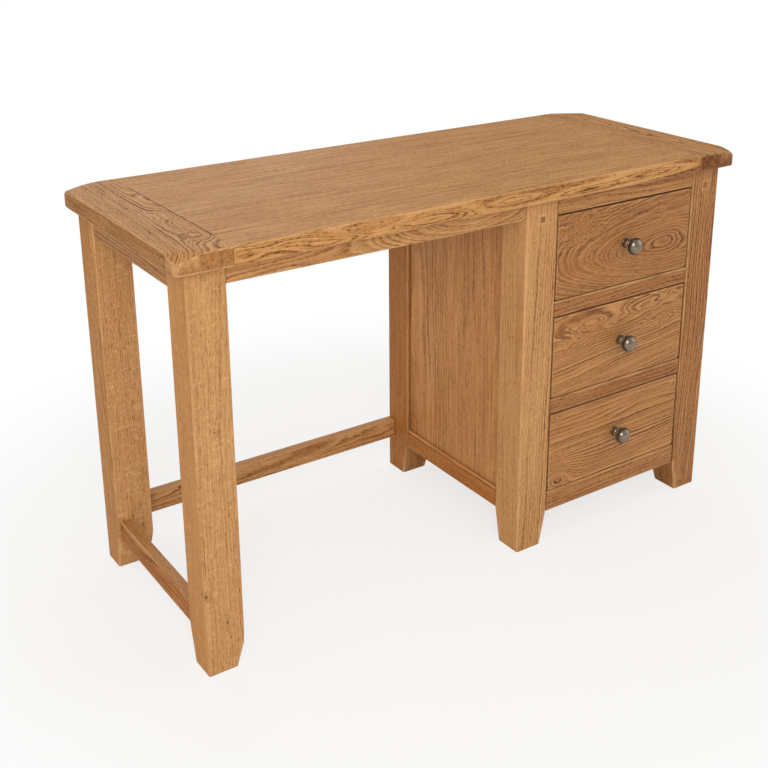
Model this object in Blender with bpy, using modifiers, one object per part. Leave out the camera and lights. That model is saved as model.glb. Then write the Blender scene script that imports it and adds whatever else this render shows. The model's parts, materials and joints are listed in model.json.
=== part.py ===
"""Oak dressing table with a kneehole, a two-legged end frame and one pedestal of three drawers.

Metres, +Z up. X runs along the table with the pedestal at +X, and the drawers open towards -Y.
The origin is on the floor, under the middle of the bounding box.
"""

import math
from dataclasses import dataclass

import bmesh
import bpy
from mathutils import Matrix, Vector

# Clearances
FIT_GAP = 0.0003
CUT_OVERRUN = 0.010

# How full the rounding of an eased edge is, as a share; this one is a quarter circle
ROUND_FULLNESS = 0.5

# The whole table
HEIGHT = 0.760
TOP_WIDTH = 1.230
TOP_DEPTH = 0.494
SIDE_OVERHANG = 0.024
FRONT_OVERHANG = 0.019
REAR_OVERHANG = 0.015
PEDESTAL_WIDTH = 0.508

# Top: panel with tongues, framed by rails
TOP_THICKNESS = 0.033
END_RAIL_WIDTH = 0.099
LONG_RAIL_WIDTH = 0.072
TOP_PANEL_THICKNESS = 0.022
TONGUE_THICKNESS = 0.008
TONGUE_LENGTH = 0.010
TOP_TENON_LENGTH = 0.040
TOP_TENON_THICKNESS = 0.012
TOP_TENON_SHOULDER = 0.014
TOP_ARRIS = 0.0025
FRONT_CORNER_ROUND = 0.010
REAR_CORNER_ROUND = 0.017
CORNER_ROUND_STEPS = 5

# Rolled corners of the top: a cylinder tangent to the surface, set across each corner
ROLL_ALONG_SIDE = 0.050
ROLL_ALONG_FRONT = 0.085
ROLL_RADIUS = 0.077
ROLL_ENTRY = 0.0002
ROLL_STEPS = 6

# Legs of the end frame and posts of the pedestal
LEG_SECTION = 0.070
POST_SECTION = 0.074
LEG_ARRIS = 0.003
FOOT_INSET = 0.015
LEG_SIDE_TAPER = 0.043
LEG_REAR_TAPER = 0.064
POST_TAPER = 0.068

# Aprons and stretchers
APRON_THICKNESS = 0.020
APRON_HEIGHT = 0.033
SIDE_APRON_HEIGHT = 0.046
APRON_SETBACK = 0.003
STRETCHER_THICKNESS = 0.022
STRETCHER_HEIGHT = 0.043
SIDE_STRETCHER_SETBACK = 0.005
SIDE_STRETCHER_FLOOR_GAP = 0.0625
REAR_STRETCHER_SETBACK = 0.001
REAR_STRETCHER_FLOOR_GAP = 0.0765
RAIL_ARRIS = 0.0015

# Tenons of aprons, stretchers and rails
TENON_THICKNESS = 0.008
TENON_SHOULDER = 0.006
TENON_LENGTH = 0.025
DRAWER_TENON_LENGTH = 0.020

# Pedestal rails and panels
RAIL_SETBACK = 0.001
RAIL_THICKNESS = 0.022
PEDESTAL_FLOOR_GAP = 0.069
LOWER_RAIL_HEIGHT = 0.043
UPPER_RAIL_HEIGHT = 0.045
TOP_DRAWER_RAIL_HEIGHT = 0.0345
DIVIDER_HEIGHT = 0.0315
DRAWER_RAIL_DEPTH = 0.060
SIDE_PANEL_THICKNESS = 0.010
PANEL_RECESS = 0.008
GROOVE_DEPTH = 0.008
DUST_PANEL_THICKNESS = 0.006
DUST_PANEL_RISE = 0.012
DUST_GROOVE_DEPTH = 0.006

# Runners and kicker
RUNNER_THICKNESS = 0.022
RUNNER_LEDGE = 0.015
GUIDE_HEIGHT = 0.020
STUB_TENON_LENGTH = 0.008
STUB_SHOULDER = 0.005
KICKER_WIDTH = 0.045
KICKER_HEIGHT = 0.020

# Stop block behind each drawer front, on the rail under it
STOP_WIDTH = 0.060
STOP_THICKNESS = 0.016
STOP_HEIGHT = 0.008
STOP_SEAT = 0.010

# Drawers
DRAWER_NAMES = ("top", "middle", "bottom")
DRAWER_SETBACK = 0.001
FRONT_SIDE_GAP = 0.0018
FRONT_TOP_GAP = 0.0024
FRONT_BOTTOM_GAP = 0.0014
FRONT_THICKNESS = 0.020
FRONT_CORNER_RADIUS = 0.005
FRONT_WORN_CORNER_RADIUS = 0.010
FRONT_CORNER_STEPS = 3
FRONT_EDGE_RADIUS = 0.003
DRAWER_REAR_GAP = 0.016
DRAWER_SIDE_THICKNESS = 0.012
DRAWER_SIDE_DROP = 0.0122
DRAWER_BACK_THICKNESS = 0.012
RUNNING_GAP = 0.0003
BOTTOM_THICKNESS = 0.006
BOTTOM_RISE = 0.012
BOTTOM_GROOVE_DEPTH = 0.006

# Dovetails: shares are of the height of one tail and the space beside it
TAIL_COUNT = 3
TAIL_ROOT_SHARE = 0.50
TAIL_SLOPE_SHARE = 1 / 6
FRONT_LAP = 0.005

# Knobs: radii, and heights above the drawer front
KNOB_HEIGHT = 0.038
KNOB_HEAD_RADIUS = 0.0172
KNOB_HEAD_HEIGHT = 0.0255
KNOB_GROOVE_RADIUS = 0.0148
KNOB_GROOVE_WIDTH = 0.0012
KNOB_RIM_RADIUS = 0.0162
KNOB_RIM_HEIGHT = 0.0195
KNOB_RIM_THICKNESS = 0.0025
KNOB_NECK_RADIUS = 0.0048
KNOB_NECK_HEIGHT = 0.0145
KNOB_BOSS_RADIUS = 0.0094
KNOB_BOSS_HEIGHT = 0.0110
KNOB_BASE_RADIUS = 0.0110
KNOB_BASE_THICKNESS = 0.0024
KNOB_DOME_STEPS = 6
KNOB_BOSS_STEPS = 3
KNOB_TURN_STEPS = 32
KNOB_BORE_DEPTH = 0.012
SCREW_RADIUS = 0.0020
SCREW_GRIP = 0.0110
SCREW_HEAD_RADIUS = 0.0042
SCREW_HEAD_HEIGHT = 0.0025
SCREW_TURN_STEPS = 16

# Square plugs in the front posts
PLUG_WIDTH = 0.011
PLUG_DEPTH = 0.012
PLUG_DROP = 0.037

# Places worked out from the sizes above
KNOB_REACH = max(0.0, KNOB_HEIGHT + FIT_GAP - DRAWER_SETBACK - FRONT_OVERHANG)
PART_DEPTH = TOP_DEPTH + KNOB_REACH
X_LEFT = -TOP_WIDTH / 2
X_RIGHT = TOP_WIDTH / 2
Y_REAR = PART_DEPTH / 2
Y_FRONT = Y_REAR - TOP_DEPTH
FACE_Y = Y_FRONT + FRONT_OVERHANG
BACK_Y = Y_REAR - REAR_OVERHANG
UNDER_TOP = HEIGHT - TOP_THICKNESS
POST_TOP = UNDER_TOP - FIT_GAP
LEG_X0 = X_LEFT + SIDE_OVERHANG
LEG_X1 = LEG_X0 + LEG_SECTION
PEDESTAL_X1 = X_RIGHT - SIDE_OVERHANG
PEDESTAL_X0 = PEDESTAL_X1 - PEDESTAL_WIDTH
PEDESTAL_MID_X = (PEDESTAL_X0 + PEDESTAL_X1) / 2
OPENING_X0 = PEDESTAL_X0 + POST_SECTION
OPENING_X1 = PEDESTAL_X1 - POST_SECTION
LOWER_RAIL_TOP = PEDESTAL_FLOOR_GAP + LOWER_RAIL_HEIGHT
UPPER_RAIL_BOTTOM = UNDER_TOP - UPPER_RAIL_HEIGHT
TOP_OPENING_Z1 = UNDER_TOP - TOP_DRAWER_RAIL_HEIGHT
DRAWER_COUNT = len(DRAWER_NAMES)
OPENING_HEIGHT = (TOP_OPENING_Z1 - LOWER_RAIL_TOP - (DRAWER_COUNT - 1) * DIVIDER_HEIGHT) / DRAWER_COUNT
DRAWER_FACE_Y = FACE_Y + DRAWER_SETBACK
DRAWER_REAR_Y = BACK_Y - RAIL_SETBACK - RAIL_THICKNESS - DRAWER_REAR_GAP

# Edges of a block, each named by the signs of its middle along x, y and z
UPRIGHT_EDGES = tuple((x, y, 0) for x in (-1, 1) for y in (-1, 1))
LONG_X_EDGES = tuple((0, y, z) for y in (-1, 1) for z in (-1, 1))
LONG_Y_EDGES = tuple((x, 0, z) for x in (-1, 1) for z in (-1, 1))

# Surface looks: sRGB colour, roughness, metallic
OAK_TOP = ("C08A5C", 0.45, 0.0)
OAK_FRAME = ("B67E49", 0.50, 0.0)
OAK_PANEL = ("A9744A", 0.50, 0.0)
OAK_FRONT = ("A87547", 0.50, 0.0)
DRAWER_WOOD = ("C9A777", 0.60, 0.0)
PLYWOOD = ("CDB48A", 0.65, 0.0)
PLUG_WOOD = ("8F5E35", 0.50, 0.0)
PEWTER = ("8C8678", 0.35, 1.0)
STEEL = ("B4B6B8", 0.30, 1.0)


@dataclass(frozen=True)
class Box:
    """A box with its sides along the axes, by its low and high corners."""

    x0: float
    x1: float
    y0: float
    y1: float
    z0: float
    z1: float

    def grown(self, gap):
        """Returns the box made larger by gap on every side."""
        return Box(self.x0 - gap, self.x1 + gap, self.y0 - gap, self.y1 + gap, self.z0 - gap, self.z1 + gap)

    def centre(self):
        """Returns the middle of the box."""
        return Vector(((self.x0 + self.x1) / 2, (self.y0 + self.y1) / 2, (self.z0 + self.z1) / 2))

    def size(self):
        """Returns the three side lengths."""
        return Vector((self.x1 - self.x0, self.y1 - self.y0, self.z1 - self.z0))

    def mirrored_x(self, plane):
        """Returns the box reflected in the plane x = plane."""
        return Box(2 * plane - self.x1, 2 * plane - self.x0, self.y0, self.y1, self.z0, self.z1)


def clear_scene():
    """Removes whatever the file holds."""
    for item in list(bpy.data.objects):
        bpy.data.objects.remove(item, do_unlink=True)


def new_collection(name):
    """Makes a collection in the scene."""
    collection = bpy.data.collections.new(name)
    bpy.context.scene.collection.children.link(collection)
    return collection


def linear(channel):
    """Turns one sRGB channel into linear light."""
    return channel / 12.92 if channel <= 0.04045 else ((channel + 0.055) / 1.055) ** 2.4


def paint(item, look):
    """Gives an object its own Principled material."""
    colour, roughness, metallic = look
    material = bpy.data.materials.new(item.name)
    material.use_nodes = True
    surface = material.node_tree.nodes["Principled BSDF"]
    rgb = [linear(int(colour[i:i + 2], 16) / 255) for i in (0, 2, 4)]
    surface.inputs["Base Color"].default_value = (*rgb, 1.0)
    surface.inputs["Roughness"].default_value = roughness
    surface.inputs["Metallic"].default_value = metallic
    item.data.materials.clear()
    item.data.materials.append(material)


def link_part(name, mesh, look):
    """Puts a mesh into the table's collection as a named sub-part."""
    mesh.name = name
    item = bpy.data.objects.new(name, mesh)
    PARTS.objects.link(item)
    paint(item, look)
    return item


def link_tool(name, mesh):
    """Puts a mesh that only cuts or joins into the tools' collection."""
    item = bpy.data.objects.new(name, mesh)
    item.hide_render = True
    item.display_type = "WIRE"
    TOOLS.objects.link(item)
    return item


def cube_mesh(size):
    """Returns a bmesh box of the given side lengths round the origin."""
    shape = bmesh.new()
    bmesh.ops.create_cube(shape, size=1.0)
    bmesh.ops.scale(shape, vec=size, verts=shape.verts)
    return shape


def edge_signs(edge, size):
    """Names an edge of a box by the signs of its middle along the axes."""
    middle = (edge.verts[0].co + edge.verts[1].co) / 2
    return tuple(round(2 * middle[i] / size[i]) for i in range(3))


def ease(shape, edges, width, segments):
    """Rounds the given edges of a bmesh."""
    bmesh.ops.bevel(
        shape, geom=edges, offset=width, segments=segments, affect="EDGES", profile=ROUND_FULLNESS
    )


def finish_mesh(name, shape):
    """Turns a bmesh into a mesh with its faces pointing out."""
    bmesh.ops.recalc_face_normals(shape, faces=shape.faces)
    mesh = bpy.data.meshes.new(name)
    shape.to_mesh(mesh)
    shape.free()
    return mesh


def block(name, box, look, eased=(), width=0.0, segments=1):
    """Makes a board from a box, with the named edges eased."""
    size = box.size()
    shape = cube_mesh(size)
    chosen = [edge for edge in shape.edges if edge_signs(edge, size) in eased]
    if chosen:
        ease(shape, chosen, width, segments)
    item = link_part(name, finish_mesh(name, shape), look)
    item.location = box.centre()
    return item


def tool_block(name, box):
    """Makes a tool from a box."""
    item = link_tool(name, finish_mesh(name, cube_mesh(box.size())))
    item.location = box.centre()
    return item


def apply_tool(target, tool, operation):
    """Adds a Boolean modifier that joins or cuts with the tool."""
    modifier = target.modifiers.new(f"{operation.lower()} {tool.name}", "BOOLEAN")
    modifier.operation = operation
    modifier.solver = "EXACT"
    modifier.object = tool


def join_box(target, name, box):
    """Joins a box to a part, as a tenon or a tongue."""
    apply_tool(target, tool_block(name, box), "UNION")


def house(box, name, receivers):
    """Cuts room for a box, with the fit gap round it, into each receiver."""
    tool = tool_block(f"{name} housing", box.grown(FIT_GAP))
    for receiver in receivers:
        apply_tool(receiver, tool, "DIFFERENCE")


def tenoned_rail(name, body, tenon, look, receivers, eased, width=RAIL_ARRIS):
    """Makes a rail with a tenon at each end and cuts the mortises that take them."""
    item = block(name, body, look, eased, width)
    join_box(item, f"{name} tenon", tenon)
    house(tenon, name, receivers)
    return item


def outline_mesh(points, thickness):
    """Returns the mesh of a closed flat outline in its own x and y, with the given thickness along z."""
    curve = bpy.data.curves.new("outline", "CURVE")
    curve.dimensions = "2D"
    curve.fill_mode = "BOTH"
    curve.extrude = thickness / 2
    spline = curve.splines.new("POLY")
    spline.points.add(len(points) - 1)
    for point, (u, v) in zip(spline.points, points):
        point.co = (u, v, 0.0, 1.0)
    spline.use_cyclic_u = True
    holder = bpy.data.objects.new("outline", curve)
    TOOLS.objects.link(holder)
    evaluated = holder.evaluated_get(bpy.context.evaluated_depsgraph_get())
    mesh = bpy.data.meshes.new_from_object(evaluated)
    bpy.data.objects.remove(holder, do_unlink=True)
    bpy.data.curves.remove(curve)
    shape = bmesh.new()
    shape.from_mesh(mesh)
    bpy.data.meshes.remove(mesh)
    bmesh.ops.remove_doubles(shape, verts=shape.verts, dist=FIT_GAP / 10)
    return finish_mesh("outline", shape)


def turned(name, profile, steps, look):
    """Makes a turned piece from (radius, height) points that run down its outer side."""
    mesh = bpy.data.meshes.new(name)
    edges = [(i, i + 1) for i in range(len(profile) - 1)]
    mesh.from_pydata([(radius, 0.0, height) for radius, height in profile], edges, [])
    item = link_part(name, mesh, look)
    screw = item.modifiers.new("turn", "SCREW")
    screw.steps = steps
    screw.render_steps = steps
    screw.use_merge_vertices = True
    screw.merge_threshold = 0.00001
    screw.use_smooth_shade = True
    return item


def empty_at(name, place):
    """Makes an empty that carries a moving group."""
    holder = bpy.data.objects.new(name, None)
    holder.location = place
    PARTS.objects.link(holder)
    return holder


def carry(holder, item):
    """Parents an item to an empty and leaves it where it is."""
    item.parent = holder
    item.matrix_parent_inverse = Matrix.Translation(holder.location).inverted()


def roll_tool(name, sign_x, sign_y):
    """Makes the cutter that rolls one corner of the top down to its edge."""
    corner = Vector((sign_x * TOP_WIDTH / 2, Y_FRONT if sign_y < 0 else Y_REAR, HEIGHT))
    side_point = corner - Vector((0.0, sign_y * ROLL_ALONG_SIDE, 0.0))
    front_point = corner - Vector((sign_x * ROLL_ALONG_FRONT, 0.0, 0.0))
    axis = (front_point - side_point).normalized()
    outward = Vector((sign_x * abs(axis.y), sign_y * abs(axis.x), 0.0))
    reach = (corner - side_point).dot(outward) + CUT_OVERRUN
    last_angle = math.asin(min(1.0, reach / ROLL_RADIUS))
    angles = [last_angle * i / ROLL_STEPS for i in range(ROLL_STEPS + 1)]
    arc = [(ROLL_RADIUS * math.sin(a), ROLL_RADIUS * (math.cos(a) - 1)) for a in angles]
    arc[0] = (0.0, ROLL_ENTRY)
    points = arc + [(reach, CUT_OVERRUN), (0.0, CUT_OVERRUN)]
    length = (front_point - side_point).length + 2 * reach
    item = link_tool(name, outline_mesh(points, length))
    up = Vector((0.0, 0.0, 1.0))
    turn = Matrix((outward, up, outward.cross(up))).transposed().to_4x4()
    item.matrix_world = Matrix.Translation((side_point + front_point) / 2) @ turn
    return item


def end_rail(name, sign):
    """Makes one end rail of the top with its rounded and rolled outer corners."""
    inner = sign * (TOP_WIDTH / 2 - END_RAIL_WIDTH)
    outer = sign * TOP_WIDTH / 2
    box = Box(min(inner, outer), max(inner, outer), Y_FRONT, Y_REAR, UNDER_TOP, HEIGHT)
    size = box.size()
    shape = cube_mesh(size)
    for sign_y, radius in ((-1, FRONT_CORNER_ROUND), (1, REAR_CORNER_ROUND)):
        corner = [edge for edge in shape.edges if edge_signs(edge, size) == (sign, sign_y, 0)]
        ease(shape, corner, radius, CORNER_ROUND_STEPS)
    rim = [edge for edge in shape.edges if on_outer_rim(edge, size, sign)]
    ease(shape, rim, TOP_ARRIS, 2)
    item = link_part(name, finish_mesh(name, shape), OAK_TOP)
    item.location = box.centre()
    for side, sign_y in (("front", -1), ("rear", 1)):
        apply_tool(item, roll_tool(f"{name} {side} roll", sign, sign_y), "DIFFERENCE")
    return item


def on_outer_rim(edge, size, sign):
    """Tells whether an edge runs round the outside of an end rail, at its upper or lower face."""
    first, second = (vertex.co for vertex in edge.verts)
    level = abs(first.z - second.z) < FIT_GAP and abs(abs(first.z) - size.z / 2) < FIT_GAP
    inner = all(abs(point.x + sign * size.x / 2) < FIT_GAP for point in (first, second))
    return level and not inner


def make_top():
    """Makes the five pieces of the top."""
    left = end_rail("top_left_end_rail", -1)
    right = end_rail("top_right_end_rail", 1)
    x0 = X_LEFT + END_RAIL_WIDTH + FIT_GAP
    x1 = X_RIGHT - END_RAIL_WIDTH - FIT_GAP
    middle_z = UNDER_TOP + (TOP_THICKNESS - TOP_TENON_THICKNESS) / 2
    rails = []
    for name, y0, y1, sign in (
        ("top_front_rail", Y_FRONT, Y_FRONT + LONG_RAIL_WIDTH, -1),
        ("top_rear_rail", Y_REAR - LONG_RAIL_WIDTH, Y_REAR, 1),
    ):
        body = Box(x0, x1, y0, y1, UNDER_TOP, HEIGHT)
        tenon = Box(
            x0 - TOP_TENON_LENGTH, x1 + TOP_TENON_LENGTH, y0 + TOP_TENON_SHOULDER,
            y1 - TOP_TENON_SHOULDER, middle_z, middle_z + TOP_TENON_THICKNESS,
        )
        edges = ((0, sign, 1), (0, sign, -1))
        rails.append(tenoned_rail(name, body, tenon, OAK_TOP, (left, right), edges, TOP_ARRIS))
    panel_body = Box(
        x0, x1, Y_FRONT + LONG_RAIL_WIDTH + FIT_GAP, Y_REAR - LONG_RAIL_WIDTH - FIT_GAP,
        HEIGHT - TOP_PANEL_THICKNESS, HEIGHT,
    )
    panel = block("top_panel", panel_body, OAK_TOP)
    tongue_z = HEIGHT - (TOP_PANEL_THICKNESS + TONGUE_THICKNESS) / 2
    tongue = Box(
        panel_body.x0 - TONGUE_LENGTH, panel_body.x1 + TONGUE_LENGTH, panel_body.y0 - TONGUE_LENGTH,
        panel_body.y1 + TONGUE_LENGTH, tongue_z, tongue_z + TONGUE_THICKNESS,
    )
    join_box(panel, "top_panel tongue", tongue)
    house(tongue, "top_panel", (left, right, *rails))


def leg(name, box, inner_x, inner_y, taper_x, taper_y):
    """Makes a square leg whose foot tapers on its two inner faces.

    inner_x and inner_y are the signs of the faces that taper, and taper_x and taper_y the heights
    at which those tapers start.
    """
    size = box.size()
    shape = cube_mesh(size)
    for height in {taper_x, taper_y}:
        geometry = list(shape.verts) + list(shape.edges) + list(shape.faces)
        bmesh.ops.bisect_plane(
            shape, geom=geometry, plane_co=(0.0, 0.0, height - size.z / 2), plane_no=(0.0, 0.0, 1.0)
        )
    for vertex in shape.verts:
        height = vertex.co.z + size.z / 2
        if vertex.co.x * inner_x > 0:
            vertex.co.x -= inner_x * FOOT_INSET * max(0.0, 1 - height / taper_x)
        if vertex.co.y * inner_y > 0:
            vertex.co.y -= inner_y * FOOT_INSET * max(0.0, 1 - height / taper_y)
    upright = [edge for edge in shape.edges if abs(edge.verts[0].co.z - edge.verts[1].co.z) > FIT_GAP]
    ease(shape, upright, LEG_ARRIS, 2)
    item = link_part(name, finish_mesh(name, shape), OAK_FRAME)
    item.location = box.centre()
    return item


def make_end_frame():
    """Makes the two left legs, the side apron and the side stretcher."""
    front = leg(
        "leg_front_left", Box(LEG_X0, LEG_X1, FACE_Y, FACE_Y + LEG_SECTION, 0.0, POST_TOP),
        1, 1, LEG_SIDE_TAPER, LEG_REAR_TAPER,
    )
    rear = leg(
        "leg_rear_left", Box(LEG_X0, LEG_X1, BACK_Y - LEG_SECTION, BACK_Y, 0.0, POST_TOP),
        1, -1, LEG_SIDE_TAPER, LEG_REAR_TAPER,
    )
    y0 = FACE_Y + LEG_SECTION + FIT_GAP
    y1 = BACK_Y - LEG_SECTION - FIT_GAP
    apron_x = LEG_X0 + APRON_SETBACK
    apron = Box(apron_x, apron_x + APRON_THICKNESS, y0, y1, UNDER_TOP - SIDE_APRON_HEIGHT, POST_TOP)
    tenoned_rail("apron_left", apron, tenon_along_y(apron), OAK_FRAME, (front, rear), LONG_Y_EDGES)
    stretcher_x = LEG_X0 + SIDE_STRETCHER_SETBACK
    stretcher_z = SIDE_STRETCHER_FLOOR_GAP
    stretcher = Box(
        stretcher_x, stretcher_x + STRETCHER_THICKNESS, y0, y1, stretcher_z, stretcher_z + STRETCHER_HEIGHT
    )
    tenon = tenon_along_y(stretcher)
    tenoned_rail("stretcher_left", stretcher, tenon, OAK_FRAME, (front, rear), LONG_Y_EDGES)
    return front, rear


def tenon_along_y(body, length=TENON_LENGTH):
    """Returns the box of the tenons at the two y ends of an upright board."""
    x0 = (body.x0 + body.x1 - TENON_THICKNESS) / 2
    return Box(
        x0, x0 + TENON_THICKNESS, body.y0 - length, body.y1 + length,
        body.z0 + TENON_SHOULDER, body.z1 - TENON_SHOULDER,
    )


def tenon_along_x(body, length=TENON_LENGTH):
    """Returns the box of the tenons at the two x ends of an upright board."""
    y0 = (body.y0 + body.y1 - TENON_THICKNESS) / 2
    return Box(
        body.x0 - length, body.x1 + length, y0, y0 + TENON_THICKNESS,
        body.z0 + TENON_SHOULDER, body.z1 - TENON_SHOULDER,
    )


def make_posts():
    """Makes the four posts of the pedestal and returns them by place."""
    posts = {}
    for side, x0, inner_x in (("left", PEDESTAL_X0, 1), ("right", PEDESTAL_X1 - POST_SECTION, -1)):
        for end, y0, inner_y in (("front", FACE_Y, 1), ("rear", BACK_Y - POST_SECTION, -1)):
            box = Box(x0, x0 + POST_SECTION, y0, y0 + POST_SECTION, 0.0, POST_TOP)
            posts[end, side] = leg(f"post_{end}_{side}", box, inner_x, inner_y, POST_TAPER, POST_TAPER)
    return posts


def make_links(front_leg, rear_leg, posts):
    """Makes the aprons and the rear stretcher that join the end frame to the pedestal."""
    x0 = LEG_X1 + FIT_GAP
    x1 = PEDESTAL_X0 - FIT_GAP
    apron_z = UNDER_TOP - APRON_HEIGHT
    front_y = FACE_Y + APRON_SETBACK
    rear_y = BACK_Y - APRON_SETBACK
    front = Box(x0, x1, front_y, front_y + APRON_THICKNESS, apron_z, POST_TOP)
    rear = Box(x0, x1, rear_y - APRON_THICKNESS, rear_y, apron_z, POST_TOP)
    front_receivers = (front_leg, posts["front", "left"])
    rear_receivers = (rear_leg, posts["rear", "left"])
    tenoned_rail("apron_front", front, tenon_along_x(front), OAK_FRAME, front_receivers, LONG_X_EDGES)
    tenoned_rail("apron_rear", rear, tenon_along_x(rear), OAK_FRAME, rear_receivers, LONG_X_EDGES)
    y1 = BACK_Y - REAR_STRETCHER_SETBACK
    z0 = REAR_STRETCHER_FLOOR_GAP
    stretcher = Box(x0, x1, y1 - STRETCHER_THICKNESS, y1, z0, z0 + STRETCHER_HEIGHT)
    tenoned_rail(
        "stretcher_rear", stretcher, tenon_along_x(stretcher), OAK_FRAME, rear_receivers, LONG_X_EDGES
    )


def make_side(side, posts):
    """Makes one side of the pedestal: its two rails and the panel in their grooves."""
    receivers = (posts["front", side], posts["rear", side])
    y0 = FACE_Y + POST_SECTION + FIT_GAP
    y1 = BACK_Y - POST_SECTION - FIT_GAP
    rails = []
    for name, z0, z1 in (
        ("lower", PEDESTAL_FLOOR_GAP, LOWER_RAIL_TOP),
        ("upper", UPPER_RAIL_BOTTOM, POST_TOP),
    ):
        x0 = PEDESTAL_X0 + RAIL_SETBACK
        body = on_side(Box(x0, x0 + RAIL_THICKNESS, y0, y1, z0, z1), side)
        rail_name = f"side_{name}_rail_{side}"
        rails.append(
            tenoned_rail(rail_name, body, tenon_along_y(body), OAK_FRAME, receivers, LONG_Y_EDGES)
        )
    panel_x = PEDESTAL_X0 + PANEL_RECESS
    panel = Box(
        panel_x, panel_x + SIDE_PANEL_THICKNESS, y0 - GROOVE_DEPTH, y1 + GROOVE_DEPTH,
        LOWER_RAIL_TOP - GROOVE_DEPTH, UPPER_RAIL_BOTTOM + GROOVE_DEPTH,
    )
    panel = on_side(panel, side)
    block(f"side_panel_{side}", panel, OAK_PANEL)
    house(panel, f"side_panel_{side}", (*receivers, *rails))
    return rails[0]


def on_side(box, side):
    """Returns a box drawn for the pedestal's left side on the side named."""
    return box if side == "left" else box.mirrored_x(PEDESTAL_MID_X)


def make_back(posts):
    """Makes the back of the pedestal and returns its lower and upper rails."""
    receivers = (posts["rear", "left"], posts["rear", "right"])
    x0 = OPENING_X0 + FIT_GAP
    x1 = OPENING_X1 - FIT_GAP
    y1 = BACK_Y - RAIL_SETBACK
    rails = []
    for name, z0, z1 in (
        ("back_lower_rail", PEDESTAL_FLOOR_GAP, LOWER_RAIL_TOP),
        ("back_upper_rail", UPPER_RAIL_BOTTOM, POST_TOP),
    ):
        body = Box(x0, x1, y1 - RAIL_THICKNESS, y1, z0, z1)
        tenon = tenon_along_x(body, DRAWER_TENON_LENGTH)
        rails.append(tenoned_rail(name, body, tenon, OAK_FRAME, receivers, LONG_X_EDGES))
    panel_y = BACK_Y - PANEL_RECESS
    panel = Box(
        x0 - GROOVE_DEPTH, x1 + GROOVE_DEPTH, panel_y - SIDE_PANEL_THICKNESS, panel_y,
        LOWER_RAIL_TOP - GROOVE_DEPTH, UPPER_RAIL_BOTTOM + GROOVE_DEPTH,
    )
    block("back_panel", panel, PLYWOOD)
    house(panel, "back_panel", (*receivers, *rails))
    return rails


def make_drawer_rails(posts):
    """Makes the rails between the drawers and returns the top and bottom ones."""
    receivers = (posts["front", "left"], posts["front", "right"])
    x0 = OPENING_X0 + FIT_GAP
    x1 = OPENING_X1 - FIT_GAP
    y0 = FACE_Y + RAIL_SETBACK
    spans = [("drawer_rail_top", TOP_OPENING_Z1, POST_TOP, DRAWER_RAIL_DEPTH)]
    for index, name in enumerate(("drawer_divider_upper", "drawer_divider_lower"), start=1):
        z0 = opening_floor(index - 1) - DIVIDER_HEIGHT
        spans.append((name, z0, z0 + DIVIDER_HEIGHT, DRAWER_RAIL_DEPTH))
    spans.append(("drawer_rail_bottom", PEDESTAL_FLOOR_GAP, LOWER_RAIL_TOP, RAIL_THICKNESS))
    rails = {}
    for name, z0, z1, depth in spans:
        body = Box(x0, x1, y0, y0 + depth, z0, z1)
        tenon_y = y0 + TENON_SHOULDER
        tenon = Box(
            x0 - DRAWER_TENON_LENGTH, x1 + DRAWER_TENON_LENGTH, tenon_y, tenon_y + TENON_THICKNESS,
            z0 + TENON_SHOULDER, z1 - TENON_SHOULDER,
        )
        edges = ((0, -1, 1), (0, -1, -1))
        rails[name] = tenoned_rail(name, body, tenon, OAK_FRAME, receivers, edges)
        if name != "drawer_rail_top":
            join_box(rails[name], f"{name} stop", stop_box(z1))
    return rails


def stop_box(floor):
    """Returns the block that stops a drawer by the back of its front, on the rail with its top at floor."""
    y0 = DRAWER_FACE_Y + FRONT_THICKNESS + FIT_GAP
    half = STOP_WIDTH / 2
    return Box(
        PEDESTAL_MID_X - half, PEDESTAL_MID_X + half, y0, y0 + STOP_THICKNESS,
        floor - STOP_SEAT, floor + STOP_HEIGHT,
    )


def opening_floor(index):
    """Returns the height of the floor of a drawer opening, counted from the top."""
    return TOP_OPENING_Z1 - (index + 1) * OPENING_HEIGHT - index * DIVIDER_HEIGHT


def make_dust_panel(side_rails, front_rail, back_rail):
    """Makes the panel under the bottom drawer, notched round the posts, and its grooves."""
    z0 = PEDESTAL_FLOOR_GAP + DUST_PANEL_RISE
    z1 = z0 + DUST_PANEL_THICKNESS
    rail_inner = RAIL_SETBACK + RAIL_THICKNESS
    wings = Box(
        PEDESTAL_X0 + rail_inner - DUST_GROOVE_DEPTH, PEDESTAL_X1 - rail_inner + DUST_GROOVE_DEPTH,
        FACE_Y + POST_SECTION + FIT_GAP, BACK_Y - POST_SECTION - FIT_GAP, z0, z1,
    )
    spine = Box(
        OPENING_X0 + FIT_GAP, OPENING_X1 - FIT_GAP, FACE_Y + rail_inner - DUST_GROOVE_DEPTH,
        BACK_Y - rail_inner + DUST_GROOVE_DEPTH, z0, z1,
    )
    points = [
        (spine.x0, spine.y0), (spine.x1, spine.y0), (spine.x1, wings.y0), (wings.x1, wings.y0),
        (wings.x1, wings.y1), (spine.x1, wings.y1), (spine.x1, spine.y1), (spine.x0, spine.y1),
        (spine.x0, wings.y1), (wings.x0, wings.y1), (wings.x0, wings.y0), (spine.x0, wings.y0),
    ]
    item = link_part("dust_panel", outline_mesh(points, DUST_PANEL_THICKNESS), PLYWOOD)
    item.location.z = (z0 + z1) / 2
    house(wings, "dust_panel wings", side_rails)
    house(spine, "dust_panel spine", (front_rail, back_rail))


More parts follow.
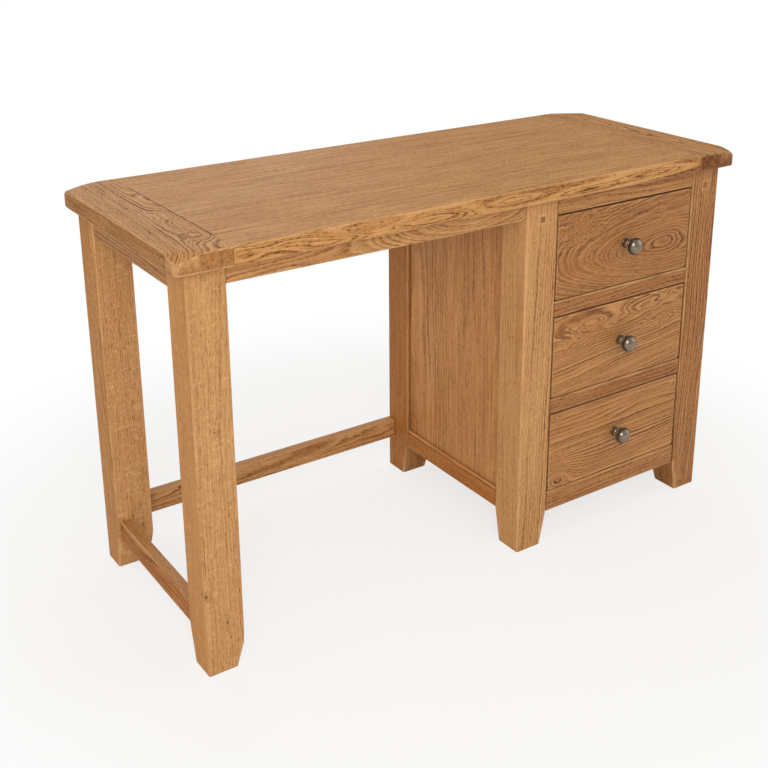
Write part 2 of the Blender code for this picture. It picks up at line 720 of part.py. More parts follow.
def make_runners(posts):
    """Makes a runner with a guide for each side of each drawer, stub-tenoned into the posts."""
    y0 = FACE_Y + POST_SECTION + FIT_GAP
    y1 = BACK_Y - POST_SECTION - FIT_GAP
    outer = PEDESTAL_X0 + RAIL_SETBACK + RAIL_THICKNESS + FIT_GAP
    for index, drawer in enumerate(DRAWER_NAMES):
        floor = opening_floor(index)
        for side in ("left", "right"):
            name = f"runner_{drawer}_{side}"
            receivers = (posts["front", side], posts["rear", side])
            ledge = Box(outer, OPENING_X0 + RUNNER_LEDGE, y0, y1, floor - RUNNER_THICKNESS, floor)
            guide = Box(
                OPENING_X0 - RUNNER_LEDGE, OPENING_X0, y0, y1, floor - RUNNER_THICKNESS / 2,
                floor + GUIDE_HEIGHT,
            )
            stub = Box(
                outer + STUB_SHOULDER, OPENING_X0 - STUB_SHOULDER, y0 - STUB_TENON_LENGTH,
                y1 + STUB_TENON_LENGTH, ledge.z0 + STUB_SHOULDER, floor - STUB_SHOULDER,
            )
            item = block(name, on_side(ledge, side), DRAWER_WOOD)
            join_box(item, f"{name} guide", on_side(shortened(guide), side))
            join_box(item, f"{name} stub", on_side(stub, side))
            house(on_side(stub, side), name, receivers)


def shortened(box):
    """Returns a box pulled in by the fit gap at its two y ends."""
    return Box(box.x0, box.x1, box.y0 + FIT_GAP, box.y1 - FIT_GAP, box.z0, box.z1)


def make_kicker(top_rail, back_rail):
    """Makes the bar over the top drawer that keeps it level when it is pulled out."""
    half = KICKER_WIDTH / 2
    y0 = FACE_Y + RAIL_SETBACK + DRAWER_RAIL_DEPTH + FIT_GAP
    y1 = BACK_Y - RAIL_SETBACK - RAIL_THICKNESS - FIT_GAP
    z0 = TOP_OPENING_Z1
    body = Box(PEDESTAL_MID_X - half, PEDESTAL_MID_X + half, y0, y1, z0, z0 + KICKER_HEIGHT)
    stub = Box(
        body.x0 + STUB_SHOULDER, body.x1 - STUB_SHOULDER, y0 - STUB_TENON_LENGTH, y1 + STUB_TENON_LENGTH,
        z0 + STUB_SHOULDER, body.z1 - STUB_SHOULDER,
    )
    item = block("kicker_top", body, DRAWER_WOOD)
    join_box(item, "kicker stub", stub)
    house(stub, "kicker_top", (top_rail, back_rail))


def tail_places(z0, z1):
    """Yields the middle height and the root half-width of each dovetail along an edge."""
    pitch = (z1 - z0) / TAIL_COUNT
    for index in range(TAIL_COUNT):
        yield z0 + (index + 0.5) * pitch, TAIL_ROOT_SHARE * pitch / 2


def side_outline(y_root, y_tip, back_root, back_tip, z0, z1, tail_z0):
    """Returns the (y, z) outline of a drawer side with dovetails at both ends, from tail_z0 up."""
    front, back = [], []
    for middle, half in tail_places(tail_z0, z1):
        for tails, root, tip in ((front, y_root, y_tip), (back, back_root, back_tip)):
            spread = half + TAIL_SLOPE_SHARE * abs(tip - root)
            tails += [(root, middle - half), (tip, middle - spread)]
            tails += [(tip, middle + spread), (root, middle + half)]
    return [(y_root, z0)] + front + [(y_root, z1), (back_root, z1)] + back[::-1] + [(back_root, z0)]


def socket_tool(name, root, tip, z0, z1, x_mid, thickness):
    """Makes the cutter of the dovetail sockets that take one end of a drawer side."""
    direction = math.copysign(1.0, tip - root)
    open_end = root - direction * CUT_OVERRUN
    closed_end = tip + direction * FIT_GAP
    tools = bmesh.new()
    for middle, half in tail_places(z0, z1):
        near = half + FIT_GAP - TAIL_SLOPE_SHARE * CUT_OVERRUN
        far = half + FIT_GAP + TAIL_SLOPE_SHARE * (abs(tip - root) + FIT_GAP)
        points = [
            (open_end, middle - near), (closed_end, middle - far),
            (closed_end, middle + far), (open_end, middle + near),
        ]
        mesh = outline_mesh(points, thickness)
        tools.from_mesh(mesh)
        bpy.data.meshes.remove(mesh)
    item = link_tool(name, finish_mesh(name, tools))
    stand_in_yz(item, x_mid)
    return item


def stand_in_yz(item, x_mid):
    """Turns a flat outline so that its x and y become the world's y and z, centred on x_mid."""
    item.rotation_euler = (math.pi / 2, 0.0, math.pi / 2)
    item.location.x = x_mid


def drawer_front(name, box):
    """Makes a drawer front with rounded corners and an eased front edge."""
    size = box.size()
    shape = cube_mesh(size)
    for signs in LONG_Y_EDGES:
        worn = signs == (1, 0, -1)
        corner = [edge for edge in shape.edges if edge_signs(edge, size) == signs]
        ease(shape, corner, FRONT_WORN_CORNER_RADIUS if worn else FRONT_CORNER_RADIUS, FRONT_CORNER_STEPS)
    rim = [edge for edge in shape.edges if all(v.co.y < FIT_GAP - size.y / 2 for v in edge.verts)]
    ease(shape, rim, FRONT_EDGE_RADIUS, 2)
    item = link_part(name, finish_mesh(name, shape), OAK_FRONT)
    item.location = box.centre()
    return item


def knob_profile():
    """Returns the turned outline of a knob, from the tip down the outside and back up its bore."""
    dome = KNOB_HEIGHT - KNOB_HEAD_HEIGHT
    boss = KNOB_BOSS_HEIGHT - KNOB_BASE_THICKNESS
    flare = KNOB_BOSS_RADIUS - KNOB_NECK_RADIUS
    rim_top = KNOB_RIM_HEIGHT + KNOB_RIM_THICKNESS
    bore = SCREW_RADIUS + FIT_GAP
    points = [(KNOB_HEAD_RADIUS * u, KNOB_HEAD_HEIGHT + dome * v) for u, v in quarter_turn(KNOB_DOME_STEPS)]
    points += [
        (KNOB_GROOVE_RADIUS, rim_top + KNOB_GROOVE_WIDTH),
        (KNOB_GROOVE_RADIUS, rim_top),
        (KNOB_RIM_RADIUS, rim_top),
        (KNOB_RIM_RADIUS, KNOB_RIM_HEIGHT),
        (KNOB_NECK_RADIUS, KNOB_NECK_HEIGHT),
    ]
    points += [
        (KNOB_NECK_RADIUS + flare * u, KNOB_BASE_THICKNESS + boss * v)
        for u, v in quarter_turn(KNOB_BOSS_STEPS)
    ]
    return points + [
        (KNOB_BASE_RADIUS, KNOB_BASE_THICKNESS),
        (KNOB_BASE_RADIUS, 0.0),
        (bore, 0.0),
        (bore, KNOB_BORE_DEPTH),
        (0.0, KNOB_BORE_DEPTH),
    ]


def quarter_turn(steps):
    """Returns the points of a quarter of a unit circle, from its top round to its side."""
    middle = [math.pi / 2 * i / steps for i in range(1, steps)]
    return [(0.0, 1.0)] + [(math.sin(a), math.cos(a)) for a in middle] + [(1.0, 0.0)]


def screw_profile():
    """Returns the turned outline of a knob screw, from the tip of its shank down to its head."""
    tip = min(SCREW_GRIP, KNOB_BORE_DEPTH - FIT_GAP)
    under_head = -FRONT_THICKNESS - 2 * FIT_GAP
    return [
        (0.0, tip),
        (SCREW_RADIUS, tip),
        (SCREW_RADIUS, under_head),
        (SCREW_HEAD_RADIUS, under_head),
        (SCREW_HEAD_RADIUS, under_head - SCREW_HEAD_HEIGHT),
        (0.0, under_head - SCREW_HEAD_HEIGHT),
    ]


def make_knob(drawer, front, face_y, middle_z):
    """Makes a knob and its screw on a drawer front, and the hole that the screw passes."""
    parts = []
    for name, profile, steps, look in (
        (f"drawer_{drawer}_knob", knob_profile(), KNOB_TURN_STEPS, PEWTER),
        (f"drawer_{drawer}_knob_screw", screw_profile(), SCREW_TURN_STEPS, STEEL),
    ):
        item = turned(name, profile, steps, look)
        item.rotation_euler = (math.pi / 2, 0.0, 0.0)
        item.location = (PEDESTAL_MID_X, face_y - FIT_GAP, middle_z)
        parts.append(item)
    hole = bmesh.new()
    radius = SCREW_RADIUS + FIT_GAP
    length = FRONT_THICKNESS + 2 * CUT_OVERRUN
    bmesh.ops.create_cone(
        hole, cap_ends=True, segments=SCREW_TURN_STEPS, radius1=radius, radius2=radius, depth=length
    )
    tool = link_tool(f"drawer_{drawer} screw hole", finish_mesh("screw hole", hole))
    tool.rotation_euler = (math.pi / 2, 0.0, 0.0)
    tool.location = (PEDESTAL_MID_X, face_y + FRONT_THICKNESS / 2, middle_z)
    apply_tool(front, tool, "DIFFERENCE")
    return parts


def make_drawer(index, drawer):
    """Makes one drawer: front, dovetailed sides and back, bottom, knob and knob screw."""
    floor = opening_floor(index)
    face_y = DRAWER_FACE_Y
    front_box = Box(
        OPENING_X0 + FRONT_SIDE_GAP, OPENING_X1 - FRONT_SIDE_GAP, face_y, face_y + FRONT_THICKNESS,
        floor + FRONT_BOTTOM_GAP, floor + OPENING_HEIGHT - FRONT_TOP_GAP,
    )
    front = drawer_front(f"drawer_{drawer}_front", front_box)
    side_z0 = floor + RUNNING_GAP
    side_z1 = floor + OPENING_HEIGHT - DRAWER_SIDE_DROP
    rear_y = DRAWER_REAR_Y
    root = face_y + FRONT_THICKNESS + FIT_GAP
    tip = face_y + FRONT_LAP
    back_root = rear_y - DRAWER_BACK_THICKNESS - FIT_GAP
    bottom_z = side_z0 + BOTTOM_RISE
    back_z0 = bottom_z + BOTTOM_THICKNESS + FIT_GAP
    tail_z0 = max(side_z0, front_box.z0)
    inner_x0 = front_box.x0 + DRAWER_SIDE_THICKNESS
    inner_x1 = front_box.x1 - DRAWER_SIDE_THICKNESS
    back_box = Box(front_box.x0, front_box.x1, rear_y - DRAWER_BACK_THICKNESS, rear_y, back_z0, side_z1)
    back = block(f"drawer_{drawer}_back", back_box, DRAWER_WOOD)
    bottom_box = Box(
        inner_x0 - BOTTOM_GROOVE_DEPTH, inner_x1 + BOTTOM_GROOVE_DEPTH,
        face_y + FRONT_THICKNESS - BOTTOM_GROOVE_DEPTH, rear_y, bottom_z, bottom_z + BOTTOM_THICKNESS,
    )
    bottom = block(f"drawer_{drawer}_bottom", bottom_box, PLYWOOD)
    sides = []
    for side, x_outer, inward in (("left", front_box.x0, 1), ("right", front_box.x1, -1)):
        x_mid = x_outer + inward * DRAWER_SIDE_THICKNESS / 2
        outline = side_outline(root, tip, back_root, rear_y, side_z0, side_z1, tail_z0)
        name = f"drawer_{drawer}_side_{side}"
        item = link_part(name, outline_mesh(outline, DRAWER_SIDE_THICKNESS), DRAWER_WOOD)
        stand_in_yz(item, x_mid)
        sides.append(item)
        cut_width = DRAWER_SIDE_THICKNESS + CUT_OVERRUN
        cut_mid = x_outer + inward * (DRAWER_SIDE_THICKNESS + FIT_GAP - cut_width / 2)
        for receiver, start, end in ((front, root, tip), (back, back_root, rear_y + CUT_OVERRUN)):
            tool = socket_tool(f"{receiver.name} {side}", start, end, tail_z0, side_z1, cut_mid, cut_width)
            apply_tool(receiver, tool, "DIFFERENCE")
    house(bottom_box, f"drawer_{drawer}_bottom", (front, *sides))
    middle_z = (front_box.z0 + front_box.z1) / 2
    holder = empty_at(f"drawer_{drawer}_slide", (PEDESTAL_MID_X, face_y, middle_z))
    for item in (front, back, bottom, *sides, *make_knob(drawer, front, face_y, middle_z)):
        carry(holder, item)


def make_plugs(posts):
    """Makes the square plugs let into the front faces of the front posts."""
    half = PLUG_WIDTH / 2
    x = PEDESTAL_X0 + POST_SECTION / 2
    z = UNDER_TOP - PLUG_DROP
    for side in ("left", "right"):
        box = on_side(Box(x - half, x + half, FACE_Y, FACE_Y + PLUG_DEPTH, z - half, z + half), side)
        block(f"plug_front_{side}", box, PLUG_WOOD)
        house(box, f"plug_front_{side}", (posts["front", side],))


def smooth_round_parts():
    """Shades turned pieces smooth and keeps flat boards flat."""
    for item in PARTS.objects:
        if item.type == "MESH" and not any(modifier.type == "SCREW" for modifier in item.modifiers):
            item.data.shade_flat()


clear_scene()
PARTS = new_collection("dressing_table")
TOOLS = new_collection("tools")
make_top()
leg_front, leg_rear = make_end_frame()
pedestal_posts = make_posts()
make_links(leg_front, leg_rear, pedestal_posts)
lower_side_rails = [make_side(side, pedestal_posts) for side in ("left", "right")]
back_lower, back_upper = make_back(pedestal_posts)
drawer_rails = make_drawer_rails(pedestal_posts)
make_dust_panel(lower_side_rails, drawer_rails["drawer_rail_bottom"], back_lower)
make_runners(pedestal_posts)
make_kicker(drawer_rails["drawer_rail_top"], back_upper)
for drawer_index, drawer_name in enumerate(DRAWER_NAMES):
    make_drawer(drawer_index, drawer_name)
make_plugs(pedestal_posts)
smooth_round_parts()
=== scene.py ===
"""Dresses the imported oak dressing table: figured boards, turned pewter knobs, studio and camera.

Every length is in metres, in the frame of the CAD model: +Z up and the drawers opening towards -Y.
"""

import json
import logging
import math
from dataclasses import dataclass, field
from enum import Enum
from typing import Any, ClassVar

import bmesh
import bpy
import numpy as np
from mathutils import Matrix, Vector, noise

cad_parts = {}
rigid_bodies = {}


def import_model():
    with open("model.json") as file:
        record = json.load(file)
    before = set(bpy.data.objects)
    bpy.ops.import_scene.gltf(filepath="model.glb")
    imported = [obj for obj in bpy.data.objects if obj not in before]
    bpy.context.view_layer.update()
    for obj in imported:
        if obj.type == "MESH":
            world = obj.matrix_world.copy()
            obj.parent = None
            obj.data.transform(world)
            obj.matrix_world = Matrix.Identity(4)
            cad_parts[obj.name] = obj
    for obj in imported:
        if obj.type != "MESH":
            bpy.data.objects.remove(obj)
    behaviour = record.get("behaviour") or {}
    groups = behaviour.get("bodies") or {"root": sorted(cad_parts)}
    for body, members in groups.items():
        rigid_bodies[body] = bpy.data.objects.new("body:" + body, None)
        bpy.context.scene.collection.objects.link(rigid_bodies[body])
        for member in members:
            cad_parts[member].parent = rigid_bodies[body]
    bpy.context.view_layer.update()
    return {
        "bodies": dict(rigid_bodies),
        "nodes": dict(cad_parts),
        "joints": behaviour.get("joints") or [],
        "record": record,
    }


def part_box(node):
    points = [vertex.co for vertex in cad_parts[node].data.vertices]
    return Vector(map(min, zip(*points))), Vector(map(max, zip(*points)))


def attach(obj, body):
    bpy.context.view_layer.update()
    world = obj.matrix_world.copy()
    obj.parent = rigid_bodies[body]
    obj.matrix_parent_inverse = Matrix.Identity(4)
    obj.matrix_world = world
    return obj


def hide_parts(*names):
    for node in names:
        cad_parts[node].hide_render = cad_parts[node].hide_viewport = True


LOG = logging.getLogger("dressing_table")
MM = 0.001
AXES = "xyz"
MATH, RANGE = "ShaderNodeMath", "ShaderNodeMapRange"
SMOOTH, TIMES = {"interpolation_type": "SMOOTHSTEP"}, {"operation": "MULTIPLY"}
Tree = bpy.types.NodeTree


# Small helpers


def linear(hex_colour: str) -> tuple[float, float, float, float]:
    """Turns an sRGB hex colour into the linear colour that a node takes.

    Args:
        hex_colour: Six hex digits, such as "C08A50".

    Returns:
        Red, green, blue and an alpha of one.
    """
    parts = [int(hex_colour[i : i + 2], 16) / 255 for i in (0, 2, 4)]
    red, green, blue = (c / 12.92 if c <= 0.04045 else ((c + 0.055) / 1.055) ** 2.4 for c in parts)
    return red, green, blue, 1.0


def connect(tree: Tree, node: bpy.types.Node, links: dict | tuple) -> None:
    """Links or sets the inputs of a node.

    Args:
        tree: The node's tree.
        node: The node.
        links: A socket or a value for each input, by its name or number, or in order from the first.
    """
    for name, value in (links if isinstance(links, dict) else dict(enumerate(links))).items():
        if isinstance(value, bpy.types.NodeSocket):
            tree.links.new(value, node.inputs[name])
        else:
            node.inputs[name].default_value = value


def add(tree: Tree, kind: str, links: dict | tuple = (), out: int | str = 0, **settings: Any) -> Any:
    """Adds one node, sets its properties, and links or sets its inputs.

    Args:
        tree: The node tree that takes the node.
        kind: The node's type, such as "ShaderNodeMath".
        links: What its inputs take, as connect() reads it.
        out: Name or number of the output to return.
        **settings: Properties of the node itself.

    Returns:
        The chosen output socket, or the node where it has no output.
    """
    node = tree.nodes.new(kind)
    for name, value in settings.items():
        setattr(node, name, value)
    connect(tree, node, links)
    return node.outputs[out] if node.outputs else node


def total(tree: Tree, start: Any, *parts: tuple[Any, Any]) -> Any:
    """Adds up parts, each times its share.

    Args:
        tree: The node tree.
        start: The socket or number that the sum starts from.
        *parts: Pairs of a part and its share.

    Returns:
        The socket with the sum.
    """
    for part, share in parts:
        start = add(tree, MATH, (part, share, start), operation="MULTIPLY_ADD")
    return start


def new_material(name: str) -> tuple[bpy.types.Material, Tree, bpy.types.Node]:
    """Makes an empty material with its shader and output joined.

    Args:
        name: The material's name.

    Returns:
        The material, its tree, and its Principled shader.
    """
    material = bpy.data.materials.new(name)
    material.use_nodes = True
    tree = material.node_tree
    tree.nodes.clear()
    shader = add(tree, "ShaderNodeBsdfPrincipled").node
    add(tree, "ShaderNodeOutputMaterial", {"Surface": shader.outputs[0]})
    return material, tree, shader


def put(name: str, data: bpy.types.ID) -> bpy.types.Object:
    """Makes an object and links it to the scene.

    Args:
        name: The object's name.
        data: Its mesh, lamp or camera.

    Returns:
        The object, at the origin.
    """
    made = bpy.data.objects.new(name, data)
    bpy.context.scene.collection.objects.link(made)
    return made


# Finishes


@dataclass(frozen=True)
class Noise:
    """A noise round zero, stretched along the grain.

    Its waves are counted for each metre along and across the grain. Where it is a mark of its own, it shows
    between the two values of "seen".
    """

    along: float
    across: float
    octaves: float = 1.0
    roughness: float = 0.5
    seen: tuple[float, float] = (0.0, 1.0)
    distortion: float = 0.0

    def over(self, tree: Tree, grain: Any) -> Any:
        """Adds the noise to a material.

        Args:
            tree: The material's tree.
            grain: The socket with the grain coordinates.

        Returns:
            A socket from about -0.3 to 0.3.
        """
        scale = (self.along, self.across, self.across)
        place = add(tree, "ShaderNodeVectorMath", (grain, scale), **TIMES)
        looks = {"Detail": self.octaves, "Roughness": self.roughness, "Distortion": self.distortion}
        value = add(tree, "ShaderNodeTexNoise", {"Vector": place, "Scale": 1.0, **looks})
        return add(tree, MATH, (value, 0.5), operation="SUBTRACT")


# Marks of the wood: fine fibres, pits between them, soft clouds, ray flecks, redder flushes, and wear along
# the arrises that carries a painted highlight as well
FIBRES = Noise(95.0, 540.0, 3.0, 0.6, (0.04, 0.17))
PITS = Noise(110.0, 760.0, seen=(0.0, 0.15))
CLOUDS = Noise(3.5, 18.0, 2.0, 0.55)
RAYS = Noise(170.0, 60.0, seen=(0.06, 0.16), distortion=1.4)
FLUSH = Noise(2.2, 26.0, 2.0, seen=(0.02, 0.28))
RUBBING_AND_HIGHLIGHT = Noise(14.0, 60.0, 2.0, 0.6, (-0.15, 0.25))
# How the year lines run: a slow and a quick wander, the sway of the ripples, and patches where they pale
SLOW, QUICK, SWAY = Noise(3.0, 12.0), Noise(16.0, 44.0), Noise(14.0, 38.0)
PATCHES = Noise(5.0, 30.0, 2.0, seen=(-0.18, 0.12))
# Year lines: turns of sway, fraying, pace and spread of uneven years, their shift, faintest year and patch
TURNS, FRAY, PACE, SPREAD, SHIFT, FAINT_YEAR, FAINT_PATCH = 1.6, 0.5, 0.31, 2.4, 0.2, 0.45, 0.45
# How lines and clouds dull the lacquer, how high pores, lines and streaks stand, and how pores crowd in lines
DULLING, HEIGHTS, CROWD = (0.10, 0.16), (-0.6, -0.5, 0.5), (0.5, 0.6)
# Tints: redder flush, painted warm shade of the sides, arris wear with a painted highlight, joints with the
# painted shade of gaps, knot heart; and the places of an oak's four colours from its ground to its darkest
# pore
BLUSH, SIDE_SHADE_TINT, HIGHLIGHT_AND_BARE_WOOD, GAP_SHADE_AND_JOINT_TINT, HEART = "A86234", "FACE30", "E0B07A", "3A200F", "4A2A14"
RAMP = (0.0, 0.35, 0.7, 1.0)


@dataclass(frozen=True)
class OakFinish:
    """Oak under a satin lacquer, read from a board's own grain coordinates.

    The boards carry "grain" (metres along the grain, and across and through from the pith), "wave" (reach
    and turns of a ripple), "wear" (arris wear with a painted highlight, dark joints with the painted shade of
    gaps, and knots), "board" (tone, curl and ray fleck) and "cut" (strength of the year lines, darker end
    grain with painted light and shade on the side faces, and a painted warm shade on the faces towards X), so
    one finish serves boards cut in any direction. A share says how strongly a mark darkens the wood.
    """

    name: str
    slot: str
    colours: str
    ring: float = 3.2 * MM
    wander: float = 14 * MM
    pale: float = 0.18
    ground: float = 0.20
    line_share: float = 0.44
    streak_share: float = 0.52
    streak_rate: float = 200.0
    cloud_share: float = 0.22
    pore_share: float = 0.50
    pit_share: float = 0.55
    ray_share: float = -0.16
    blush_share: float = 0.16
    # Range of the arris tint: wear with a painted highlight
    wear_and_highlight_range: tuple[float, float] = (0.20, 0.85)
    roughness: float = 0.47
    gloss: float = 0.30
    relief: float = 0.25 * MM

    def material(self) -> bpy.types.Material:
        """Builds the node material.

        Returns:
            The finished material.
        """
        material, tree, shader = new_material(self.name)
        grain = add(tree, "ShaderNodeAttribute", out="Vector", attribute_name="grain")
        tone, curl, fleck = self.marks(tree, "board")
        # Arris wear with a painted highlight, dark joints with the painted shade of gaps, and knots
        arris, joint_and_gap_shade, knot = self.marks(tree, "wear")
        # Year line strength; darker end grain with painted light and shade on side faces; painted warm shade
        strength, end, stain = self.marks(tree, "cut")
        noises = (FIBRES, PITS, CLOUDS, RAYS, FLUSH, RUBBING_AND_HIGHLIGHT, Noise(9.0, self.streak_rate, 3.0, 0.65))
        fibres, pits, clouds, rays, flush, wear_and_highlight, streaks = (each.over(tree, grain) for each in noises)
        lines = self.rings(tree, grain, curl, fibres)
        lines = add(tree, MATH, (lines, strength), **TIMES)
        pores = add(tree, RANGE, (fibres, *FIBRES.seen), **SMOOTH)
        pits = add(tree, RANGE, (pits, *PITS.seen), **SMOOTH)
        pores = total(tree, pores, (pits, self.pit_share))
        crowd = total(tree, CROWD[0], (lines, CROWD[1]))
        pores = add(tree, MATH, (pores, crowd), **TIMES)
        rays = add(tree, RANGE, (rays, *RAYS.seen), **SMOOTH)
        rays = add(tree, MATH, (rays, fleck), **TIMES)
        shares = (
            (lines, self.line_share), (streaks, self.streak_share), (clouds, self.cloud_share),
            (pores, self.pore_share), (rays, self.ray_share), (tone, 1.0), (end, 1.0),
        )
        colour = add(tree, "ShaderNodeValToRGB", (total(tree, self.ground, *shares),))
        stops = colour.node.color_ramp.elements
        stops.remove(stops[-1])
        for place, shade in zip(RAMP, self.colours.split()):
            stop = stops.new(place) if place else stops[0]
            stop.position = place
            stop.color = linear(shade)
        flush = add(tree, RANGE, (flush, *FLUSH.seen, 0.0, self.blush_share), **SMOOTH)
        # Wear along the arrises, with a painted highlight
        wear_and_highlight = add(tree, RANGE, (wear_and_highlight, *RUBBING_AND_HIGHLIGHT.seen, *self.wear_and_highlight_range))
        wear_and_highlight = add(tree, MATH, (arris, wear_and_highlight), **TIMES)
        heart = add(tree, MATH, (knot, 0.9), use_clamp=True, **TIMES)
        # Tints: flush, painted warm shade, arris wear with a painted highlight, joints with the painted shade
        # of gaps, knot
        tints = ((flush, BLUSH, "MIX"), (stain, SIDE_SHADE_TINT, "MULTIPLY"), (wear_and_highlight, HIGHLIGHT_AND_BARE_WOOD, "MIX"))
        for part, tint, blend in tints + ((joint_and_gap_shade, GAP_SHADE_AND_JOINT_TINT, "MIX"), (heart, HEART, "MIX")):
            mix = {0: part, 6: colour, 7: linear(tint)}
            colour = add(tree, "ShaderNodeMix", mix, out=2, data_type="RGBA", blend_type=blend)
        rough = total(tree, self.roughness, *zip((lines, clouds), DULLING))
        height = total(tree, 0.0, *zip((pores, lines, streaks), HEIGHTS))
        bump = add(tree, "ShaderNodeBump", {"Height": height, "Strength": 0.35, "Distance": self.relief})
        looks = {"Base Color": colour, "Specular IOR Level": self.gloss, "Roughness": rough, "Normal": bump}
        connect(tree, shader, looks)
        return material

    def marks(self, tree: Tree, name: str) -> tuple[Any, ...]:
        """Reads the three numbers of one attribute of the boards."""
        value = add(tree, "ShaderNodeAttribute", out="Vector", attribute_name=name)
        return tuple(add(tree, "ShaderNodeSeparateXYZ", (value,)).node.outputs)

    def rings(self, tree: Tree, grain: Any, curl: Any, fibres: Any) -> Any:
        """Adds the growth rings: dark at the start of each year, then fading.

        Args:
            tree: The material's tree.
            grain: The socket with the grain coordinates.
            curl: The socket with the board's share of curly figure.
            fibres: The socket with the fine fibres, which fray the lines.

        Returns:
            The darkness of the ring lines.
        """
        _, across, through = add(tree, "ShaderNodeSeparateXYZ", (grain,)).node.outputs
        reach, turns, _ = self.marks(tree, "wave")
        slow, quick, sway, patch = (each.over(tree, grain) for each in (SLOW, QUICK, SWAY, PATCHES))
        turns = total(tree, turns, (sway, TURNS))
        swing = add(tree, MATH, (turns, 2 * math.pi), **TIMES)
        swing = add(tree, MATH, (swing,), operation="SINE")
        deep = total(tree, through, (swing, reach))
        flat = add(tree, "ShaderNodeCombineXYZ", (across, deep))
        radius = add(tree, "ShaderNodeVectorMath", (flat,), out="Value", operation="LENGTH")
        quick = add(tree, MATH, (quick, curl), **TIMES)
        radius = total(tree, radius, (slow, self.wander), (quick, self.wander), (fibres, self.ring * FRAY))
        count = add(tree, MATH, (radius, 1 / self.ring), **TIMES)
        pace = add(tree, MATH, (count, PACE), **TIMES)
        spread = {"W": pace, "Scale": 1.0, "Detail": 1.0}
        spread = add(tree, "ShaderNodeTexNoise", spread, noise_dimensions="1D")
        count = total(tree, count, (spread, SPREAD))
        part = add(tree, MATH, (count,), operation="FRACT")
        # Within one year: the dark line fades, the next one sets in, and pale early wood comes before it
        spans = (
            (0.02, 0.55, 1.0, 0.0), (0.82, 1.0, 0.0, 1.0),
            (0.45, 0.80, 0.0, -self.pale), (0.82, 0.95, 0.0, self.pale),
        )
        fade, onset, early, late = (add(tree, RANGE, (part, *span), **SMOOTH) for span in spans)
        line = add(tree, MATH, (fade, onset), operation="MAXIMUM")
        year = add(tree, MATH, (count, SHIFT), operation="ADD")
        year = add(tree, MATH, (year,), operation="FLOOR")
        year = add(tree, "ShaderNodeTexWhiteNoise", {"W": year}, noise_dimensions="1D")
        year = total(tree, FAINT_YEAR, (year, 1 - FAINT_YEAR))
        line = add(tree, MATH, (line, year), **TIMES)
        line = total(tree, line, (early, 1.0), (late, 1.0))
        patch = add(tree, RANGE, (patch, *PATCHES.seen, FAINT_PATCH, 1.0), **SMOOTH)
        return add(tree, MATH, (line, patch), **TIMES)


@dataclass(frozen=True)
class MetalFinish:
    """A cast or turned metal with a mottled, patinated face, whose two shares are for open metal and for its
    darker places: hollows, and the painted shade on the rim of a dome.
    """

    name: str
    slot: str
    bright: str
    dark: str
    roughness: float
    mottle: float = 120.0
    seen: tuple[float, float] = (0.40, 0.80)
    age_and_shade_shares: tuple[float, float] = (0.24, 0.85)
    dulling: float = 0.25
    relief: float = 0.2 * MM

    def material(self) -> bpy.types.Material:
        """Builds the node material.

        Returns:
            The finished material.
        """
        material, tree, shader = new_material(self.name)
        place = add(tree, "ShaderNodeTexCoord", out="Object")
        mottle = {"Vector": place, "Scale": self.mottle, "Detail": 3.0, "Roughness": 0.5}
        mottle = add(tree, "ShaderNodeTexNoise", mottle)
        # Darker in the hollows, from aged metal, and towards the dome's rim, as painted shade
        age_and_painted_shade = add(tree, "ShaderNodeAttribute", out="Fac", attribute_name="age_and_painted_shade")
        plain, deep = self.age_and_shade_shares
        share = add(tree, RANGE, (mottle, *self.seen, 0.0, plain))
        share = add(tree, MATH, (age_and_painted_shade, deep, share), operation="MULTIPLY_ADD", use_clamp=True)
        mix = {0: share, 6: linear(self.bright), 7: linear(self.dark)}
        colour = add(tree, "ShaderNodeMix", mix, out=2, data_type="RGBA")
        rough = total(tree, self.roughness, (share, self.dulling))
        bump = add(tree, "ShaderNodeBump", {"Height": mottle, "Strength": 0.12, "Distance": self.relief})
        connect(tree, shader, {"Base Color": colour, "Metallic": 1.0, "Roughness": rough, "Normal": bump})
        return material


